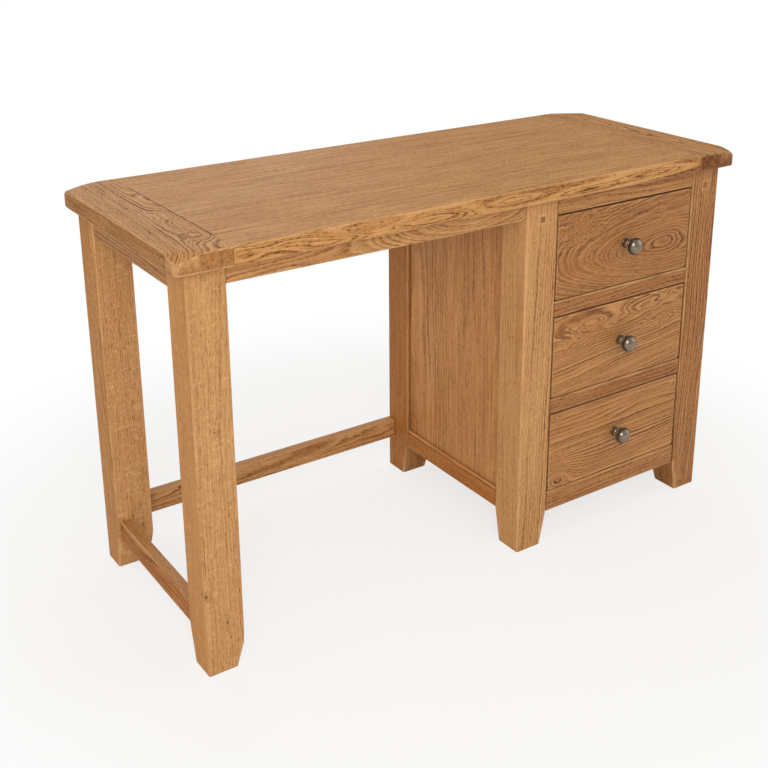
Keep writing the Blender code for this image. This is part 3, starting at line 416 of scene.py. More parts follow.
class Finish(Enum):
    """Every finish of the table. A value's slot is the name of its material in the record."""

    # Table top oak: a warm straight tan whose year lines show softly through the lacquer
    TOP = OakFinish(
        "Oak, planed and lacquered top", "oak_top", "D29D65 BB864E 945F37 5C351A", line_share=0.54,
        streak_share=0.94, streak_rate=115.0, cloud_share=0.12, pore_share=0.72, blush_share=0.12,
        roughness=0.52, gloss=0.12,
    )
    # Frame oak: lighter honey, quiet, with long streaks from the edge of the log
    FRAME = OakFinish(
        "Oak, planed and lacquered frame", "oak_frame", "D8A770 BA8752 925930 603418", ring=2.8 * MM,
        gloss=0.20,
    )
    # Panel oak: a browner veneer with long upright lines
    PANEL = OakFinish(
        "Oak, sliced veneer panel", "oak_panel", "D69A5E BB8249 925A2D 573216", line_share=0.40,
        streak_share=1.00, streak_rate=130.0, cloud_share=0.42, pore_share=0.54, blush_share=0.30,
    )
    # Drawer front oak: the strongest figure, dark year lines in a brown ground
    FRONT = OakFinish(
        "Oak, figured drawer front", "oak_front", "C89159 AE7642 7E4C27 452610", ring=6.2 * MM, pale=0.26,
        line_share=0.55, streak_share=0.76, pore_share=0.38, blush_share=0.30,
    )
    # Drawer box wood: pale, dry and plain, as the inside of a drawer is left
    DRAWER_WOOD = OakFinish(
        "Oak, plain drawer sides", "drawer_wood", "DEB888 CFA270 B28150 80542E", roughness=0.55,
    )
    # Plywood: a pale peeled face with wide, soft figure
    PLYWOOD = OakFinish(
        "Plywood, oak faced", "plywood", "D8AA74 C6935C A67342 7A4E27", ring=8 * MM, roughness=0.55,
    )
    # Plug wood: a small square set with its end grain out, which drinks in more lacquer and looks darker
    PLUG = OakFinish("Oak, end grain plug", "plug_wood", "B47A48 9A6236 744622 42240F")
    # Antique pewter: soft grey metal, greenish black in the hollows where the polishing wheel didn't reach,
    # and darkened towards the rim of the dome as painted shade
    PEWTER = MetalFinish("Pewter, antiqued", "pewter", "9E8F7D", "1B1712", 0.17)
    # Steel: zinc plated screw, bright and a little cold
    STEEL = MetalFinish("Steel, zinc plated", "steel", "C3C5C6", "6A6C6E", 0.30)


# Boards

# Below the first angle, faces are one, and above the others, an edge wears back as an arris, or is drawn
# sharp
ONE_FACE, ARRIS, SHARP_WOOD, SHARP_METAL = (math.radians(angle) for angle in (0.5, 12, 52, 48))
# Cuts lie beside an arris and on both sides of the dark band of joints and gaps, clear of faces and corners
BESIDE_ARRIS, SEAM_CUTS, CLEAR, SNAP = 3.2 * MM, (0.6 * MM, 1.6 * MM), 0.2 * MM, 0.02 * MM
# A measure up to the first isn't cut beside its arrises, and a thickness up to the second not into cells
THIN, THICK = 15 * MM, 50 * MM
# Waves for each metre in the wear of an arris, and each board's step in the noises
WEAR_WAVES, SEED_STEP = 28, 3.7
# Strength of the year lines on a board's sides, depth of a pin knot, and darkness of a joint
SIDE_LINES, KNOT_DEPTH, JOINT = 0.6, 4 * MM, 0.3
FINE, COARSE = 10 * MM, 60 * MM
# Dark joint lines of a post under the top and of a panel in the posts' grooves, the panel's also painted
# shade of its step to the post; and lengths of tenons
UNDER_TOP = {"z+": (0.0, JOINT)}
IN_POSTS = {"y-": (8 * MM, 0.8), "y+": (8 * MM, 0.5)}
TENON, SHORT_TENON = 25 * MM, 20 * MM


@dataclass(frozen=True)
class Swirl:
    """A place where the rings bulge towards the face, so that their lines close round it."""

    along: float
    across: float
    reach_along: float
    reach_across: float
    lift: float
    cuts: ClassVar[tuple[float, ...]] = ()

    def lifted(self, along: np.ndarray, across: np.ndarray) -> np.ndarray:
        """Returns how far the rings rise at distances along and across from its middle."""
        return self.lift * np.exp(-((along / self.reach_along) ** 2) - (across / self.reach_across) ** 2)


@dataclass(frozen=True)
class Ripple(Swirl):
    """A patch where the rings run in short waves, which the face cuts into chevrons."""

    wave: float
    lean: float = 0.0


@dataclass(frozen=True)
class Knot:
    """A small dark pin knot on the face of a board. Its cuts are in sizes from its middle."""

    along: float
    across: float
    size: float
    cuts: ClassVar[tuple[float, ...]] = (-1.6, -1.0, -0.6, -0.3, 0.0, 0.3, 0.6, 1.0, 1.6)

    def dark(self, along: np.ndarray, across: np.ndarray) -> np.ndarray:
        """Returns how dark the knot is at distances along and across from its middle."""
        return np.exp(-((np.hypot(along / 1.5, across) / self.size) ** 2) * 1.6)

    def swirl(self) -> Swirl:
        """Returns the bulge of the grain round the knot."""
        return Swirl(self.along, self.across, 5.0 * self.size, 2.2 * self.size, 4.0 * self.size)


@dataclass(frozen=True)
class Inlay:
    """A flush square plug of the board's own wood, seen only by its joint and a slightly darker grain."""

    along: float
    across: float
    size: float
    strength: float
    cuts: ClassVar[tuple[float, ...]] = (-0.6, -0.5, -0.35, 0.35, 0.5, 0.6)

    def dark(self, along: np.ndarray, across: np.ndarray) -> np.ndarray:
        """Returns how dark its joint and wood are at distances along and across from its middle."""
        depth = 0.5 - np.maximum(np.abs(along), np.abs(across)) / self.size
        return self.strength * np.maximum(np.clip(1 - np.abs(depth) / 0.1, 0, 1), 0.4 * (depth > 0))


@dataclass(frozen=True)
class Corners:
    """How the outer corners of an end rail are softened by hand, past their sawn rounding.

    Each pair gives the front corner and the rear one. The rolled arris fades out over the reach, and only the
    wood higher than "above" shoulders from the underside is rolled.
    """

    side: int
    sawn: tuple[float, float] = (10 * MM, 17 * MM)
    eased: tuple[float, float] = (12 * MM, 28 * MM)
    nose: tuple[float, float] = (1.8 * MM, 6 * MM)
    reach: float = 60 * MM
    rolled: float = 1.6
    fade: float = 20 * MM
    shoulder: float = 12 * MM
    above: float = 1.2
    cuts: tuple[float, ...] = (1.2 * MM, 2.6 * MM, 7 * MM)

    def depth(self, away: Vector, radius: float) -> float:
        """Returns how far inside a corner of this radius a point lies, from its distances to both sides."""
        left = Vector((max(radius - away.x, 0.0), max(radius - away.y, 0.0)))
        return radius - left.length if min(left) > 0 else min(away)

    def soften(self, shape: bmesh.types.BMesh, low: Vector, high: Vector) -> None:
        """Rounds the corners in plan and rolls their upper arris over.

        Args:
            shape: The end rail, already cut.
            low: Its lowest corner.
            high: Its highest corner.
        """
        sides = Vector((self.side, -1.0)), Vector((self.side, 1.0))
        for vertex in shape.verts:
            for turn, sawn, eased, nose in zip(sides, self.sawn, self.eased, self.nose):
                tip = Vector((low.x if turn.x < 0 else high.x, low.y if turn.y < 0 else high.y))
                away = (tip - vertex.co.xy) * turn
                if away.length > self.reach:
                    continue
                inside = self.depth(away, sawn)
                gap = inside - self.depth(away, eased)
                if gap > 0:
                    inward = (Vector((eased, eased)) - away).normalized()
                    away += inward * gap * max(0.0, 1 - inside / self.fade)
                    vertex.co.xy = tip - away * turn
                radius = nose * min(1.0, self.rolled * (1 - away.length / self.reach))
                bare = max(radius - max(self.depth(away, eased), 0.0), 0.0)
                share = min(max((vertex.co.z - low.z) / self.shoulder - self.above, 0.0), 1.0)
                vertex.co.z -= share * (radius - math.sqrt(radius**2 - bare**2))


@dataclass
class Board:
    """One board of the table: how it was cut from its log, how its arrises wear, and the light and shade
    painted on it.

    Places of swirls, ripples and knots are in the frame of the CAD model. The pith is given from the middle
    of the board, across and through, and drifts by the slope for each metre along it. Dark lines of joints,
    and the painted shade of gaps, are named by the side that they run along, with their distance from that
    side and their darkness.
    """

    node: str
    along: str
    through: str
    pith: tuple[float, float] = (0.16, 0.22)
    slope: tuple[float, float] = (0.004, 0.006)
    tone: float = 0.0
    curl: float = 0.25
    fleck: float = 0.0
    lines: float = 1.0
    dense: float = 1.0
    end: float = 0.15
    # Painted light and shade: a tone added to the faces that face across the board
    edge: float = 0.0
    # Painted warm shade on the faces towards X
    stain: float = 0.0
    # Strength of the arris tint: wear with a painted highlight
    wear_and_highlight: float = 1.0
    seed: float = 0.0
    cell: float = 24 * MM
    joints_and_gap_shade: dict = field(default_factory=dict)
    figure: tuple = ()
    wear: float = 0.35 * MM
    corners: Corners | None = None

    @property
    def axes(self) -> tuple[int, int, int]:
        """The numbers of the axes along, across and through the board."""
        u, w = AXES.index(self.along), AXES.index(self.through)
        return u, 3 - u - w, w

    def build(self, nodes: dict, materials: dict) -> bpy.types.Object:
        """Makes the dressed board and puts it in its CAD node's place.

        Args:
            nodes: The frame's CAD nodes by name.
            materials: The finished material of each slot.

        Returns:
            The new piece.
        """
        source = nodes[self.node]
        slot = source.data.materials[0].name
        low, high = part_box(self.node)
        mesh = bpy.data.meshes.new(f"{self.node}_board")
        shape = bmesh.new()
        shape.from_mesh(source.data)
        bmesh.ops.remove_doubles(shape, verts=shape.verts, dist=0.01 * MM)
        bmesh.ops.dissolve_limit(shape, angle_limit=ONE_FACE, verts=shape.verts, edges=shape.edges)
        self.cut(shape, low, high)
        arris = self.arrises(shape)
        if self.corners:
            self.corners.soften(shape, low, high)
        bmesh.ops.triangulate(shape, faces=[face for face in shape.faces if len(face.verts) > 4])
        shape.to_mesh(mesh)
        shape.free()
        mesh.materials.append(materials[slot])
        self.mark(mesh, arris, low, high)
        mesh.shade_smooth()
        mesh.set_sharp_from_angle(angle=SHARP_WOOD)
        piece = put(f"{self.node}_board", mesh)
        weighted = piece.modifiers.new("Flat faces stay flat", "WEIGHTED_NORMAL")
        weighted.keep_sharp = True
        weighted.weight = 100
        return piece

    def cut(self, shape: bmesh.types.BMesh, low: Vector, high: Vector) -> None:
        """Cuts the board into cells: close near its arrises, seams and knots, and wide elsewhere.

        Args:
            shape: The board.
            low: Lowest corner of the board.
            high: Highest corner of the board.
        """
        u, v, w = self.axes
        for k in range(3):
            span = high[k] - low[k]
            count = max(1, round(span / (self.cell if k == u else self.cell / 2)))
            places = [low[k] + span * i / count for i in range(1, count)] if k != w or span > THICK else []
            insets = (BESIDE_ARRIS,) if span > THIN else ()
            insets += self.corners.cuts if self.corners and k != w else ()
            places += [place for inset in insets for place in (low[k] + inset, high[k] - inset)]
            for side, (inset, _) in self.joints_and_gap_shade.items():
                if AXES.index(side[0]) == k:
                    edge, turn = (low[k] + inset, 1) if side[1] == "-" else (high[k] - inset, -1)
                    places += [edge + turn * step for step in SEAM_CUTS]
            for item in self.figure if k in (u, v) else ():
                middle = item.along if k == u else item.across
                places += [middle + item.size * share for share in item.cuts]
            normal = Vector((0, 0, 0))
            normal[k] = 1.0
            for place in sorted(places):
                if low[k] + CLEAR < place < high[k] - CLEAR:
                    plane = {"plane_co": normal * place, "plane_no": normal}
                    geometry = [*shape.verts, *shape.edges, *shape.faces]
                    bmesh.ops.bisect_plane(shape, geom=geometry, dist=SNAP, **plane)

    def arrises(self, shape: bmesh.types.BMesh) -> np.ndarray:
        """Finds the arrises and wears them back by a little that varies along them.

        Args:
            shape: The board, already cut.

        Returns:
            One number for each vertex: 1 on an arris and 0 elsewhere.
        """
        shape.verts.ensure_lookup_table()
        shape.verts.index_update()
        shape.normal_update()
        found = np.zeros(len(shape.verts))
        for edge in shape.edges:
            if len(edge.link_faces) == 2 and edge.calc_face_angle_signed(0.0) > ARRIS:
                found[[vertex.index for vertex in edge.verts]] = 1.0
        for vertex in shape.verts:
            if found[vertex.index]:
                share = 0.5 + 0.5 * noise.noise(vertex.co * WEAR_WAVES + Vector((self.seed, 0, 0)))
                vertex.co -= vertex.normal * self.wear * share
        return found

    def mark(self, mesh: bpy.types.Mesh, arris: np.ndarray, low: Vector, high: Vector) -> None:
        """Writes the board's grain coordinates, wear and character on its mesh.

        Args:
            mesh: The finished mesh.
            arris: The share of arris for each vertex.
            low: Lowest corner of the board.
            high: Highest corner of the board.
        """
        u, v, w = self.axes
        count = len(mesh.vertices)
        place = np.zeros(count * 3)
        mesh.vertices.foreach_get("co", place)
        place = place.reshape(-1, 3)
        middle = (np.array(low) + np.array(high)) / 2
        along, across, through = (place[:, k] - middle[k] for k in (u, v, w))
        grain, wear, wave = (np.zeros((count, 3)) for _ in range(3))
        grain[:, 0] = along + SEED_STEP * self.seed
        grain[:, 1] = across - self.pith[0] - self.slope[0] * along
        grain[:, 2] = through - self.pith[1] - self.slope[1] * along
        # Arris wear, with a painted highlight
        wear[:, 0] = arris * self.wear_and_highlight
        for item in self.figure:
            offset = place[:, u] - item.along, place[:, v] - item.across
            if isinstance(item, Ripple):
                lift = item.lifted(*offset)
                turns = (offset[0] * math.cos(item.lean) + offset[1] * math.sin(item.lean)) / item.wave
                wave[lift > wave[:, 0], 1] = turns[lift > wave[:, 0]]
                wave[:, 0] = np.maximum(wave[:, 0], lift)
            elif isinstance(item, Swirl):
                grain[:, 2] += item.lifted(*offset)
            elif isinstance(item, Inlay):
                wear[:, 1] = np.maximum(wear[:, 1], item.dark(*offset))
            else:
                near = np.exp(-(((place[:, w] - low[w]) / KNOT_DEPTH) ** 2))
                wear[:, 2] = np.maximum(wear[:, 2], near * item.dark(*offset))
                grain[:, 2] += near * item.swirl().lifted(*offset)
        grain[:, 1:] *= self.dense
        start, end = SEAM_CUTS
        # Dark joint lines, and the painted shade of gaps, along the named sides
        for side, (inset, strength) in self.joints_and_gap_shade.items():
            k = AXES.index(side[0])
            depth = place[:, k] - low[k] - inset if side[1] == "-" else high[k] - inset - place[:, k]
            shadow = strength * np.clip(1 - (depth - start) / (end - start), 0, 1)
            wear[:, 1] = np.maximum(wear[:, 1], shadow)
        board = np.tile((self.tone, self.curl, self.fleck), (count, 1))
        facing = np.zeros(len(mesh.polygons) * 3)
        mesh.polygons.foreach_get("normal", facing)
        facing = np.abs(facing.reshape(-1, 3))
        square = np.clip(2 * facing - 1, 0, 1)
        cut = np.zeros((len(mesh.polygons), 3))
        cut[:, 0] = np.where(facing[:, w] > 0.5, self.lines, min(self.lines, SIDE_LINES))
        # Darker end grain, and painted light and shade on the faces across the board
        cut[:, 1] = self.end * square[:, u] + self.edge * square[:, v]
        # Painted warm shade on the faces towards X
        cut[:, 2] = self.stain * square[:, 0]
        for name, values in {"grain": grain, "wave": wave, "wear": wear, "board": board, "cut": cut}.items():
            layer = mesh.attributes.new(name, "FLOAT_VECTOR", "FACE" if name == "cut" else "POINT")
            layer.data.foreach_set("vector", values.astype(np.float32).ravel())


def swirls(*rows: tuple[float, ...]) -> tuple[Swirl, ...]:
    """Reads rows of a swirl's five measures, in millimetres."""
    return tuple(Swirl(*(measure * MM for measure in row)) for row in rows)


def rail(node: str, along: str, through: str, tenon: float, **more: Any) -> Board:
    """Describes a rail whose two ends butt against posts, with tenons of this length beyond them."""
    return Board(node, along, through, joints_and_gap_shade={f"{along}{end}": (tenon, JOINT) for end in "-+"}, **more)


class TableTop:
    """The panel of the top and the four rails round it."""

    boards = (
        Board(
            "top_panel", "x", "z", pith=(0.30, -0.20), slope=(0.002, 0.002), tone=-0.045, curl=0.05,
            lines=0.7, seed=1.0, cell=50 * MM, wear=0.0, wear_and_highlight=0.0,
            joints_and_gap_shade={"x-": (0.010, 1.0), "x+": (0.010, 0.25), "y-": (0.010, 0.30), "y+": (0.010, 0.20)},
        ),
        Board(
            "top_front_rail", "x", "y", pith=(-0.004, 0.070), slope=(0.004, 0.010), tone=-0.05, curl=0.14,
            lines=1.25, dense=0.75, wear_and_highlight=0.5, seed=2.0, cell=FINE,
            figure=swirls(
                (-495, 741, 30, 9, 9), (-415, 746, 45, 7, 11), (-345, 736, 60, 9, 13),
                (-260, 750, 60, 7, -12), (-150, 741, 90, 8, 10), (30, 745, 90, 8, -9),
                (200, 738, 80, 8, 9), (400, 744, 100, 8, 9),
            ),
        ),
        Board(
            "top_rear_rail", "x", "y", pith=(0.02, -0.07), slope=(0.01, -0.02), tone=-0.03, wear_and_highlight=0.4, seed=3.0
        ),
        Board(
            "top_left_end_rail", "y", "z", pith=(0.075, -0.105), slope=(0.06, 0.02), tone=-0.01, lines=1.20,
            dense=1.25, end=0.24, edge=0.15, stain=0.14, wear_and_highlight=1.4, seed=4.0, cell=FINE,
            joints_and_gap_shade={"x+": (0.0, 0.12)}, corners=Corners(-1),
            figure=swirls(
                (-150, -532, 40, 26, 16), (-80, -518, 30, 18, -10), (-20, -530, 45, 20, 13),
                (90, -515, 50, 16, 9),
            ),
        ),
        Board(
            # Its end grain is set darker than the left rail's, partly as painted shade
            "top_right_end_rail", "y", "z", pith=(0.010, -0.045), slope=(-0.02, 0.045), tone=0.02, curl=0.3,
            end=0.52, wear_and_highlight=0.4, seed=5.0, cell=FINE, joints_and_gap_shade={"x-": (0.0, 0.12)}, corners=Corners(1),
        ),
    )


class EndFrame:
    """The two left legs with their apron and stretcher, and what joins them to the pedestal."""

    boards = (
        Board(
            "leg_front_left", "z", "y", pith=(0.10, 0.16), slope=(0.006, 0.010), tone=-0.01, curl=0.15,
            fleck=0.8, lines=0.40, edge=-0.12, stain=0.48, seed=6.0, joints_and_gap_shade=UNDER_TOP,
            figure=(
                Knot(0.157, -0.588, 0.0034), Knot(0.094, -0.552, 0.0030), Knot(0.450, -0.556, 0.0018),
                Inlay(0.712, -0.560, 0.009, 0.30),
            ),
        ),
        Board(
            "leg_rear_left", "z", "y", pith=(-0.15, -0.03), slope=(0.010, 0.004), tone=-0.03, curl=0.1,
            fleck=1.3, lines=0.7, stain=0.58, seed=7.0, joints_and_gap_shade=UNDER_TOP,
            figure=(Knot(0.085, -0.541, 0.0044), Knot(0.128, -0.543, 0.0030)),
        ),
        rail("apron_left", "y", "x", TENON, pith=(0.05, 0.12), tone=0.06, stain=0.30, seed=8.0),
        rail("stretcher_left", "y", "x", TENON, pith=(0.03, 0.09), tone=0.12, stain=0.79, seed=9.0),
        rail(
            "apron_front", "x", "y", TENON, pith=(-0.012, 0.090), slope=(0.01, 0.01), tone=0.04, curl=0.10,
            seed=10.0, cell=12 * MM,
            figure=swirls((-35, 750, 210, 66, 56), (-430, 690, 90, 20, 8)),
        ),
        rail("apron_rear", "x", "y", TENON, seed=11.0),
        rail("stretcher_rear", "x", "y", TENON, pith=(0.02, 0.06), slope=(0.0, 0.02), lines=1.15, seed=12.0),
    )


class Pedestal:
    """The posts, rails and panels that hold the drawers, and the gear that they run on."""

    boards = (
        Board(
            "post_front_left", "z", "y", pith=(0.13, 0.15), slope=(0.006, 0.008), tone=-0.02, edge=-0.15,
            stain=0.12, lines=0.8, seed=13.0, joints_and_gap_shade=UNDER_TOP,
        ),
        Board(
            "post_rear_left", "z", "y", pith=(-0.12, 0.10), tone=0.14, lines=0.6, stain=0.48, seed=14.0,
            joints_and_gap_shade=UNDER_TOP,
        ),
        Board(
            "post_front_right", "z", "y", pith=(0.060, 0.09), slope=(0.01, 0.01), tone=0.24, curl=0.2,
            lines=0.9, seed=15.0, joints_and_gap_shade=UNDER_TOP,
        ),
        Board("post_rear_right", "z", "y", pith=(0.12, -0.15), seed=16.0, joints_and_gap_shade=UNDER_TOP),
        Board(
            "side_panel_left", "z", "x", pith=(0.14, 0.16), slope=(0.02, 0.012), tone=-0.08, seed=17.0,
            joints_and_gap_shade=IN_POSTS,
        ),
        Board(
            "side_panel_right", "z", "x", pith=(-0.05, -0.14), slope=(0.02, -0.03), seed=18.0, joints_and_gap_shade=IN_POSTS
        ),
        rail("side_lower_rail_left", "y", "x", TENON, tone=0.06, stain=0.58, seed=19.0),
        rail("side_lower_rail_right", "y", "x", TENON, seed=20.0),
        rail("side_upper_rail_left", "y", "x", TENON, seed=21.0),
        rail("side_upper_rail_right", "y", "x", TENON, seed=22.0),
        rail(
            "drawer_rail_top", "x", "y", SHORT_TENON, pith=(0.04, 0.07), slope=(0.0, 0.01), tone=0.20,
            lines=0.8, seed=23.0,
        ),
        *(
            rail(f"drawer_{name}", "x", "y", SHORT_TENON, pith=pith, lines=0.7, tone=tone, seed=24.0 + i)
            for i, (name, pith, tone) in enumerate((
                ("divider_upper", (0.06, 0.10), 0.30), ("divider_lower", (0.07, 0.12), 0.30),
                ("rail_bottom", (0.08, 0.11), 0.22),
            ))
        ),
        Board("back_panel", "z", "y", pith=(0.08, 0.20), slope=(0.02, 0.02), seed=27.0, cell=COARSE),
        rail("back_upper_rail", "x", "y", SHORT_TENON, seed=28.0),
        rail("back_lower_rail", "x", "y", SHORT_TENON, seed=29.0),
        Board("dust_panel", "x", "z", seed=30.0, cell=COARSE),
        *(
            Board(f"runner_{drawer}_{side}", "y", "z", seed=31.0 + i + 3 * j, cell=COARSE)
            for i, drawer in enumerate(("top", "middle", "bottom"))
            for j, side in enumerate(("left", "right"))
        ),
        Board("kicker_top", "y", "z", seed=37.0, cell=COARSE),
        Board("plug_front_left", "y", "z", pith=(0.02, 0.02), tone=-0.08, wear_and_highlight=0.0, seed=38.0),
        Board("plug_front_right", "y", "z", pith=(0.02, 0.03), tone=-0.08, wear_and_highlight=0.0, seed=39.0),
    )


# Drawers


def lathe_tree() -> Tree:
    """Builds the Geometry Nodes tree that turns a profile round the Z axis, as a lathe does.

    Returns:
        A tree with the inputs Profile, Rows, Turns and Metal. The profile's points hold (radius, 0, height).
    """
    tree = bpy.data.node_groups.new("Turned on a lathe", "GeometryNodeTree")
    for name, kind in (("Profile", "Geometry"), ("Rows", "Int"), ("Turns", "Int"), ("Metal", "Material")):
        tree.interface.new_socket(name, in_out="INPUT", socket_type=f"NodeSocket{kind}")
    tree.interface.new_socket("Turning", in_out="OUTPUT", socket_type="NodeSocketGeometry")
    profile, rows, turns, metal = add(tree, "NodeGroupInput").node.outputs[:4]
    side = add(tree, MATH, (turns, 1.0), operation="ADD")
    grid = add(tree, "GeometryNodeMeshGrid", {"Vertices X": rows, "Vertices Y": side})
    place = add(tree, "GeometryNodeInputPosition")
    spot = add(tree, "ShaderNodeSeparateXYZ", (place,)).node.outputs
    share = add(tree, MATH, (spot[0], 0.5), operation="ADD")
    last = add(tree, MATH, (rows, 1.0), operation="SUBTRACT")
    row = add(tree, MATH, (share, last), **TIMES)
    row = add(tree, MATH, (row,), operation="ROUND")
    point = add(tree, "GeometryNodeSampleIndex", (profile, place, row), data_type="FLOAT_VECTOR")
    known = add(tree, "GeometryNodeInputNamedAttribute", ("age_and_painted_shade",))
    age_and_painted_shade = add(tree, "GeometryNodeSampleIndex", (profile, known, row), data_type="FLOAT")
    angle = add(tree, MATH, (spot[1], 2 * math.pi), **TIMES)
    radius, _, height = add(tree, "ShaderNodeSeparateXYZ", (point,)).node.outputs
    turned = []
    for operation in ("COSINE", "SINE"):
        part = add(tree, MATH, (angle,), operation=operation)
        turned.append(add(tree, MATH, (part, radius), **TIMES))
    turned = add(tree, "ShaderNodeCombineXYZ", (*turned, height))
    stored = {"Geometry": grid, "Name": "age_and_painted_shade", "Value": age_and_painted_shade}
    shape = add(tree, "GeometryNodeStoreNamedAttribute", stored, data_type="FLOAT")
    for kind, links in (
        ("GeometryNodeSetPosition", {"Position": turned}),
        ("GeometryNodeMergeByDistance", {"Distance": 0.002 * MM}),
        ("GeometryNodeSetShadeSmooth", {}),
        ("GeometryNodeRealizeInstances", {}),
        ("GeometryNodeSetMaterial", {"Material": metal}),
    ):
        shape = add(tree, kind, {"Geometry": shape, **links})
    add(tree, "NodeGroupOutput", {"Turning": shape})
    return tree


# Largest share of an outline's edge that a rounding takes
LARGEST = 0.45


def softened(rows: tuple, steps: int = 5) -> tuple[list[tuple[float, float]], list[float]]:
    """Rounds the corners of a turned outline.

    Args:
        rows: Each corner's radius, height and rounding in millimetres, and how dark it is, from aged metal in
            the hollows and painted shade towards the dome's rim.
        steps: Steps on each rounding.

    Returns:
        The points of the rounded outline in metres, and the darkness of each.
    """
    places = [Vector((radius * MM, height * MM)) for radius, height, _, _ in rows]
    points, age_and_painted_shade = [], []
    for i, (here, (_, _, rounding, dark)) in enumerate(zip(places, rows)):
        if rounding <= 0 or i in (0, len(rows) - 1):
            points.append(tuple(here))
            age_and_painted_shade.append(dark)
            continue
        before, after = places[i - 1] - here, places[i + 1] - here
        reach = min(rounding * MM, LARGEST * before.length, LARGEST * after.length)
        start, end = here + before.normalized() * reach, here + after.normalized() * reach
        for j in range(steps + 1):
            t = j / steps
            points.append(tuple(start * (1 - t) ** 2 + here * 2 * t * (1 - t) + end * t**2))
            age_and_painted_shade.append(dark)
    return points, age_and_painted_shade


@dataclass
class Turning:
    """A metal piece turned on the lathe from the rows of its outline, and set square on a drawer front."""

    node: str
    finish: Finish
    rows: tuple
    turns: int = 72

    def build(self, lathe: Tree, materials: dict, seat: Vector) -> bpy.types.Object:
        """Turns the piece and sets it on the drawer front.

        Args:
            lathe: The Geometry Nodes tree of the lathe.
            materials: The finished material of each slot.
            seat: The point of the drawer front where its axis starts; the axis points along -Y.

        Returns:
            The new piece.
        """
        points, age_and_painted_shade = softened(self.rows)
        outline = bpy.data.meshes.new(f"{self.node} outline")
        edges = [(i, i + 1) for i in range(len(points) - 1)]
        outline.from_pydata([(radius, 0.0, height) for radius, height in points], edges, [])
        outline.attributes.new("age_and_painted_shade", "FLOAT", "POINT").data.foreach_set("value", age_and_painted_shade)
        blank = put(f"{self.node} blank", outline)
        turning = blank.modifiers.new("Lathe", "NODES")
        turning.node_group = lathe
        slot = self.finish.value.slot
        values = {"Rows": len(points), "Turns": self.turns, "Metal": materials[slot]}
        for item in lathe.interface.items_tree:
            if item.in_out == "INPUT" and item.name in values:
                turning[item.identifier] = values[item.name]
        made = bpy.data.meshes.new_from_object(blank.evaluated_get(bpy.context.evaluated_depsgraph_get()))
        bpy.data.objects.remove(blank)
        made.name = f"{self.node}_turning"
        shape = bmesh.new()
        shape.from_mesh(made)
        bmesh.ops.recalc_face_normals(shape, faces=shape.faces)
        shape.transform(Matrix.Translation(seat) @ Matrix.Rotation(math.pi / 2, 4, "X"))
        shape.to_mesh(made)
        shape.free()
        made.set_sharp_from_angle(angle=SHARP_METAL)
        piece = put(f"{self.node}_turning", made)
        return piece


# Outlines in millimetres, as radius, height, rounding, and darkness for aged hollows and painted shade. A
# quarter turn, as shares out and up, bends the head's dome, and the mound between neck and foot.
QUARTER = [(math.sin(math.pi / 2 * i / 14), math.cos(math.pi / 2 * i / 14)) for i in range(15)]
HEAD, RIM, DOME = 17.2, 25.5, 12.5
NECK, BOSS, SEAT, MOUND = 4.8, 9.4, 2.4, 8.6
KNOB = (
    # The dome darkens towards its rim as painted shade.
    *((HEAD * out, RIM + DOME * up, 0.0, 0.85 * out**6) for out, up in QUARTER[:-1]),
    (HEAD, RIM, 0.8, 0.0), (14.8, 23.6, 0.3, 1.0), (14.8, 22.4, 0.3, 1.0), (16.2, 21.8, 0.6, 0.0),
    (16.2, 19.5, 0.8, 0.0), (9.0, 17.2, 2.0, 0.7), (NECK, 14.5, 1.8, 0.9),
    *((NECK + (BOSS - NECK) * out, SEAT + MOUND * up, 0.0, 0.15) for out, up in QUARTER[::2]),
    (BOSS, 2.5, 0.3, 0.9), (11.0, SEAT, 0.7, 0.0), (11.0, 0.0, 0.0, 0.0), (0.0, 0.0, 0.0, 0.0),
)
SCREW = (
    (0.0, -0.2, 0.0, 0.0), (2.0, -0.2, 0.3, 0.0), (2.0, -20.6, 0.2, 0.6), (4.2, -20.6, 0.2, 0.0),
    (4.2, -21.8, 0.7, 0.0), (2.6, -23.0, 0.6, 0.0), (1.1, -23.1, 0.2, 0.0), (0.8, -22.0, 0.1, 1.0),
    (0.0, -21.9, 0.0, 1.0),
)
# The boards of a drawer box: name, axes along and through, and pith
BOX = (
    ("side_left", "y", "x", (0.08, 0.10)), ("side_right", "y", "x", (0.07, -0.10)),
    ("back", "x", "y", (0.06, 0.10)), ("bottom", "x", "z", (0.10, 0.30)),
)


@dataclass
class Drawer:
    """A dovetailed drawer box with its figured front, its knob and the knob's screw."""

    name: str
    front: Board

    def boards(self) -> list[Board]:
        """Lists the boards of the drawer: the front, then the sides, back and bottom of the box."""
        plain = {"cell": COARSE, "seed": self.front.seed + 10}
        return [self.front] + [Board(f"drawer_{self.name}_{part}", *log, **plain) for part, *log in BOX]

    def knob(self) -> Turning:
        """Describes the knob: a domed head with two rims, a waisted neck and a round seat."""
        return Turning(f"drawer_{self.name}_knob", Finish.PEWTER, KNOB)

    def screw(self) -> Turning:
        """Describes the screw, whose pan head bears on the inside of the front."""
        return Turning(f"drawer_{self.name}_knob_screw", Finish.STEEL, SCREW, turns=32)


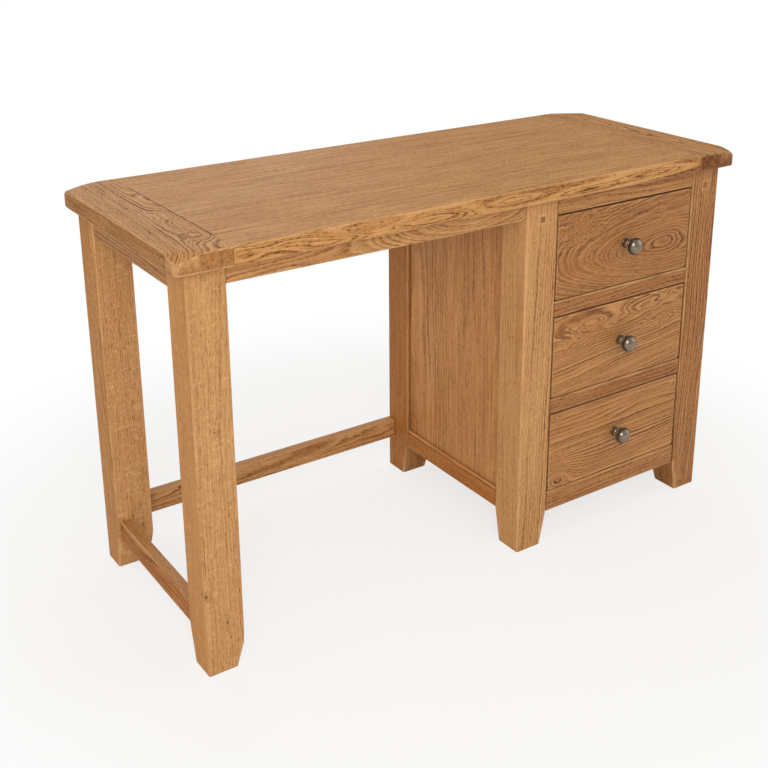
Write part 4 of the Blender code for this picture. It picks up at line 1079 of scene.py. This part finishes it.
TOP_FIGURE = (
    *swirls((425, 582, 225, 52, 46), (520, 600, 45, 50, -24), (420, 632, 60, 18, -10)),
    Ripple(0.225, 0.655, 0.05, 0.024, 0.008, 0.032, 0.35), Ripple(0.45, 0.66, 0.06, 0.02, 0.003, 0.04, -0.5),
)
MIDDLE_FIGURE = (
    *swirls((180, 420, 50, 18, 18), (260, 455, 50, 14, -12), (330, 440, 60, 12, 12)),
    *swirls((410, 460, 50, 14, 14), (480, 425, 50, 16, -14), (250, 345, 120, 12, 9)),
    Ripple(0.205, 0.435, 0.055, 0.026, 0.005, 0.028, 0.9),
    Ripple(0.455, 0.44, 0.065, 0.032, 0.0055, 0.03, -0.8),
    Knot(0.226, 0.430, 0.0026),
)
BOTTOM_FIGURE = (
    *swirls((186, 137, 36, 18, -52), (310, 150, 100, 20, 26), (440, 160, 60, 14, 10)),
    *swirls((420, 250, 120, 16, -10)),
    Knot(0.505, 0.262, 0.0024), Knot(0.172, 0.270, 0.0024),
)


def drawer(name: str, seed: float, figure: tuple, **log: Any) -> Drawer:
    """Describes a drawer, whose front's rim is darkened all round as painted shade of the gap."""
    # Painted shade of the gap all round the front's rim
    look = {"cell": FINE, "figure": figure, "joints_and_gap_shade": {side: (0.0, 0.6) for side in ("x-", "x+", "z-", "z+")}}
    return Drawer(name, Board(f"drawer_{name}_front", "x", "y", seed=seed, **look, **log))


DRAWERS = (
    drawer(
        "top", 41.0, TOP_FIGURE, pith=(0.0, 0.110), slope=(0.0, -0.150), tone=0.13, curl=0.30, lines=0.72,
        dense=1.30,
    ),
    drawer(
        "middle", 42.0, MIDDLE_FIGURE, pith=(0.080, 0.080), slope=(0.12, -0.030), curl=0.50, lines=1.25,
        dense=1.70,
    ),
    drawer("bottom", 43.0, BOTTOM_FIGURE, pith=(0.100, 0.075), slope=(0.02, -0.010), lines=1.15, dense=1.25),
)


# Studio

WHITE = (1.0, 1.0, 1.0, 1.0)
TABLE_MIDDLE = Vector((0.0, 0.0, 0.4))


@dataclass(frozen=True)
class Softbox:
    """A soft square lamp that faces the table."""

    name: str
    place: tuple[float, float, float]
    side: float
    watts: float

    def build(self) -> None:
        """Adds the lamp, turned to the middle of the table."""
        data = bpy.data.lights.new(self.name, "AREA")
        data.shape, data.size, data.energy = "SQUARE", self.side, self.watts
        place = Vector(self.place)
        turn = (place - TABLE_MIDDLE).to_track_quat("Z", "Y").to_matrix().to_4x4()
        put(self.name, data).matrix_world = Matrix.Translation(place) @ turn


@dataclass(frozen=True)
class Studio:
    """A pale floor without a horizon, soft lamps and the photograph's camera.

    The floor keeps the table's shadow near its middle, and between the two distances of "open" it turns into
    the white background. The camera's centre is the point of the picture that its axis goes through.
    """

    lamps: tuple[Softbox, ...] = (
        Softbox("Key from the front left", (-1.9, -3.1, 2.3), 2.0, 66.0),
        Softbox("Overhead", (0.0, 0.2, 3.2), 2.6, 9.0),
        Softbox("Fill from the right", (3.0, -1.6, 1.6), 2.4, 12.0),
        Softbox("Fill from behind", (0.8, 3.4, 2.2), 2.4, 20.0),
    )
    surroundings: float = 0.54
    floor_radius: float = 14.0
    open: tuple[float, float] = (0.7, 1.3)
    openness: tuple[float, float] = (0.74, 1.0)
    azimuth: float = -34.70
    elevation: float = 18.47
    eye: tuple[float, float, float] = (-1.264, -1.788, 1.306)
    sensor: float = 36.0
    focal_pixels: float = 1179.0
    centre_pixels: tuple[float, float] = (410.0, 260.0)
    frame_pixels: float = 768.0

    def build(self) -> None:
        """Builds floor, world, lamps and camera."""
        self.floor()
        self.world()
        for lamp in self.lamps:
            lamp.build()
        self.camera()
        bpy.context.scene.view_settings.view_transform = "Standard"

    def seen(self, tree: Tree) -> Any:
        """Adds the mask of the rays that the camera sends out, straight or through glass."""
        path = add(tree, "ShaderNodeLightPath").node.outputs
        return add(tree, MATH, (path["Is Camera Ray"], path["Is Transmission Ray"]), operation="MAXIMUM")

    def floor(self) -> None:
        """Lays a white floor that keeps the table's shadow and runs out into the white background."""
        bpy.ops.mesh.primitive_circle_add(vertices=96, radius=self.floor_radius, fill_type="NGON")
        floor = bpy.context.object
        floor.name = "studio_floor"
        material, tree, shader = new_material("Paper, white studio sweep")
        connect(tree, shader, {"Base Color": linear("F4F4F3"), "Roughness": 0.9, "Specular IOR Level": 0.1})
        place = add(tree, "ShaderNodeTexCoord", out="Object")
        away = add(tree, "ShaderNodeVectorMath", (place,), out="Value", operation="LENGTH")
        share = add(tree, RANGE, (away, *self.open, *self.openness), **SMOOTH)
        seen = add(tree, MATH, (self.seen(tree), share), **TIMES)
        glow = add(tree, "ShaderNodeEmission", {"Color": WHITE, "Strength": 1.0})
        mixed = add(tree, "ShaderNodeMixShader", (seen, shader.outputs[0], glow))
        out = next(node for node in tree.nodes if node.bl_idname == "ShaderNodeOutputMaterial")
        tree.links.new(mixed, out.inputs["Surface"])
        floor.data.materials.append(material)

    def world(self) -> None:
        """Surrounds the table with soft light, and shows white where nothing stands."""
        world = bpy.data.worlds.new("Studio")
        bpy.context.scene.world = world
        world.use_nodes = True
        tree = world.node_tree
        tree.nodes.clear()
        soft = add(tree, "ShaderNodeBackground", {"Color": linear("FFFCF7"), "Strength": self.surroundings})
        white = add(tree, "ShaderNodeBackground", {"Color": WHITE, "Strength": 1.0})
        mixed = add(tree, "ShaderNodeMixShader", (self.seen(tree), soft, white))
        add(tree, "ShaderNodeOutputWorld", {"Surface": mixed})

    def camera(self) -> None:
        """Sets the camera where the photograph was taken."""
        a, e = math.radians(self.azimuth), math.radians(self.elevation)
        back = Vector((math.sin(a) * math.cos(e), -math.cos(a) * math.cos(e), math.sin(e)))
        right = Vector((math.cos(a), math.sin(a), 0.0))
        data = bpy.data.cameras.new("Photograph")
        data.sensor_width = self.sensor
        data.lens = self.focal_pixels / self.frame_pixels * self.sensor
        half = self.frame_pixels / 2
        data.shift_x = (half - self.centre_pixels[0]) / self.frame_pixels
        data.shift_y = (self.centre_pixels[1] - half) / self.frame_pixels
        camera = put("Photograph", data)
        turn = Matrix((right, back.cross(right), back)).transposed().to_4x4()
        camera.matrix_world = Matrix.Translation(self.eye) @ turn
        bpy.context.scene.camera = camera


class DressingTable:
    """The whole table, dressed sub-assembly by sub-assembly."""

    def __init__(self, frame: dict) -> None:
        """Keeps the frame and makes the finishes and the lathe.
        """
        self.nodes = frame["nodes"]
        self.bodies = frame["record"]["behaviour"]["bodies"]
        self.materials = {finish.value.slot: finish.value.material() for finish in Finish}
        self.lathe = lathe_tree()

    def body_of(self, node: str) -> str:
        """Returns the body that a CAD node moves with."""
        return next(body for body, members in self.bodies.items() if node in members)

    def settle(self, piece: bpy.types.Object, node: str) -> None:
        """Puts a finished piece in its node's place, on the node's body.

        Args:
            piece: The finished piece.
            node: The CAD node that it stands for.
        """
        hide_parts(node)
        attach(piece, self.body_of(node))
        LOG.info("%s stands for %s, %d faces", piece.name, node, len(piece.data.polygons))

    def build(self) -> None:
        """Dresses every board, knob and screw."""
        for group in (TableTop, EndFrame, Pedestal):
            for board in group.boards:
                self.settle(board.build(self.nodes, self.materials), board.node)
        for each in DRAWERS:
            for board in each.boards():
                self.settle(board.build(self.nodes, self.materials), board.node)
            low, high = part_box(f"drawer_{each.name}_knob")
            seat = Vector(((low.x + high.x) / 2, high.y, (low.z + high.z) / 2))
            for turning in (each.knob(), each.screw()):
                self.settle(turning.build(self.lathe, self.materials, seat), turning.node)


def main() -> None:
    """Loads the frame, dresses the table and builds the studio."""
    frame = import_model()
    DressingTable(frame).build()
    Studio().build()


if __name__ == "__main__":
    logging.basicConfig(level=logging.INFO, format="%(name)s: %(message)s")
    main()
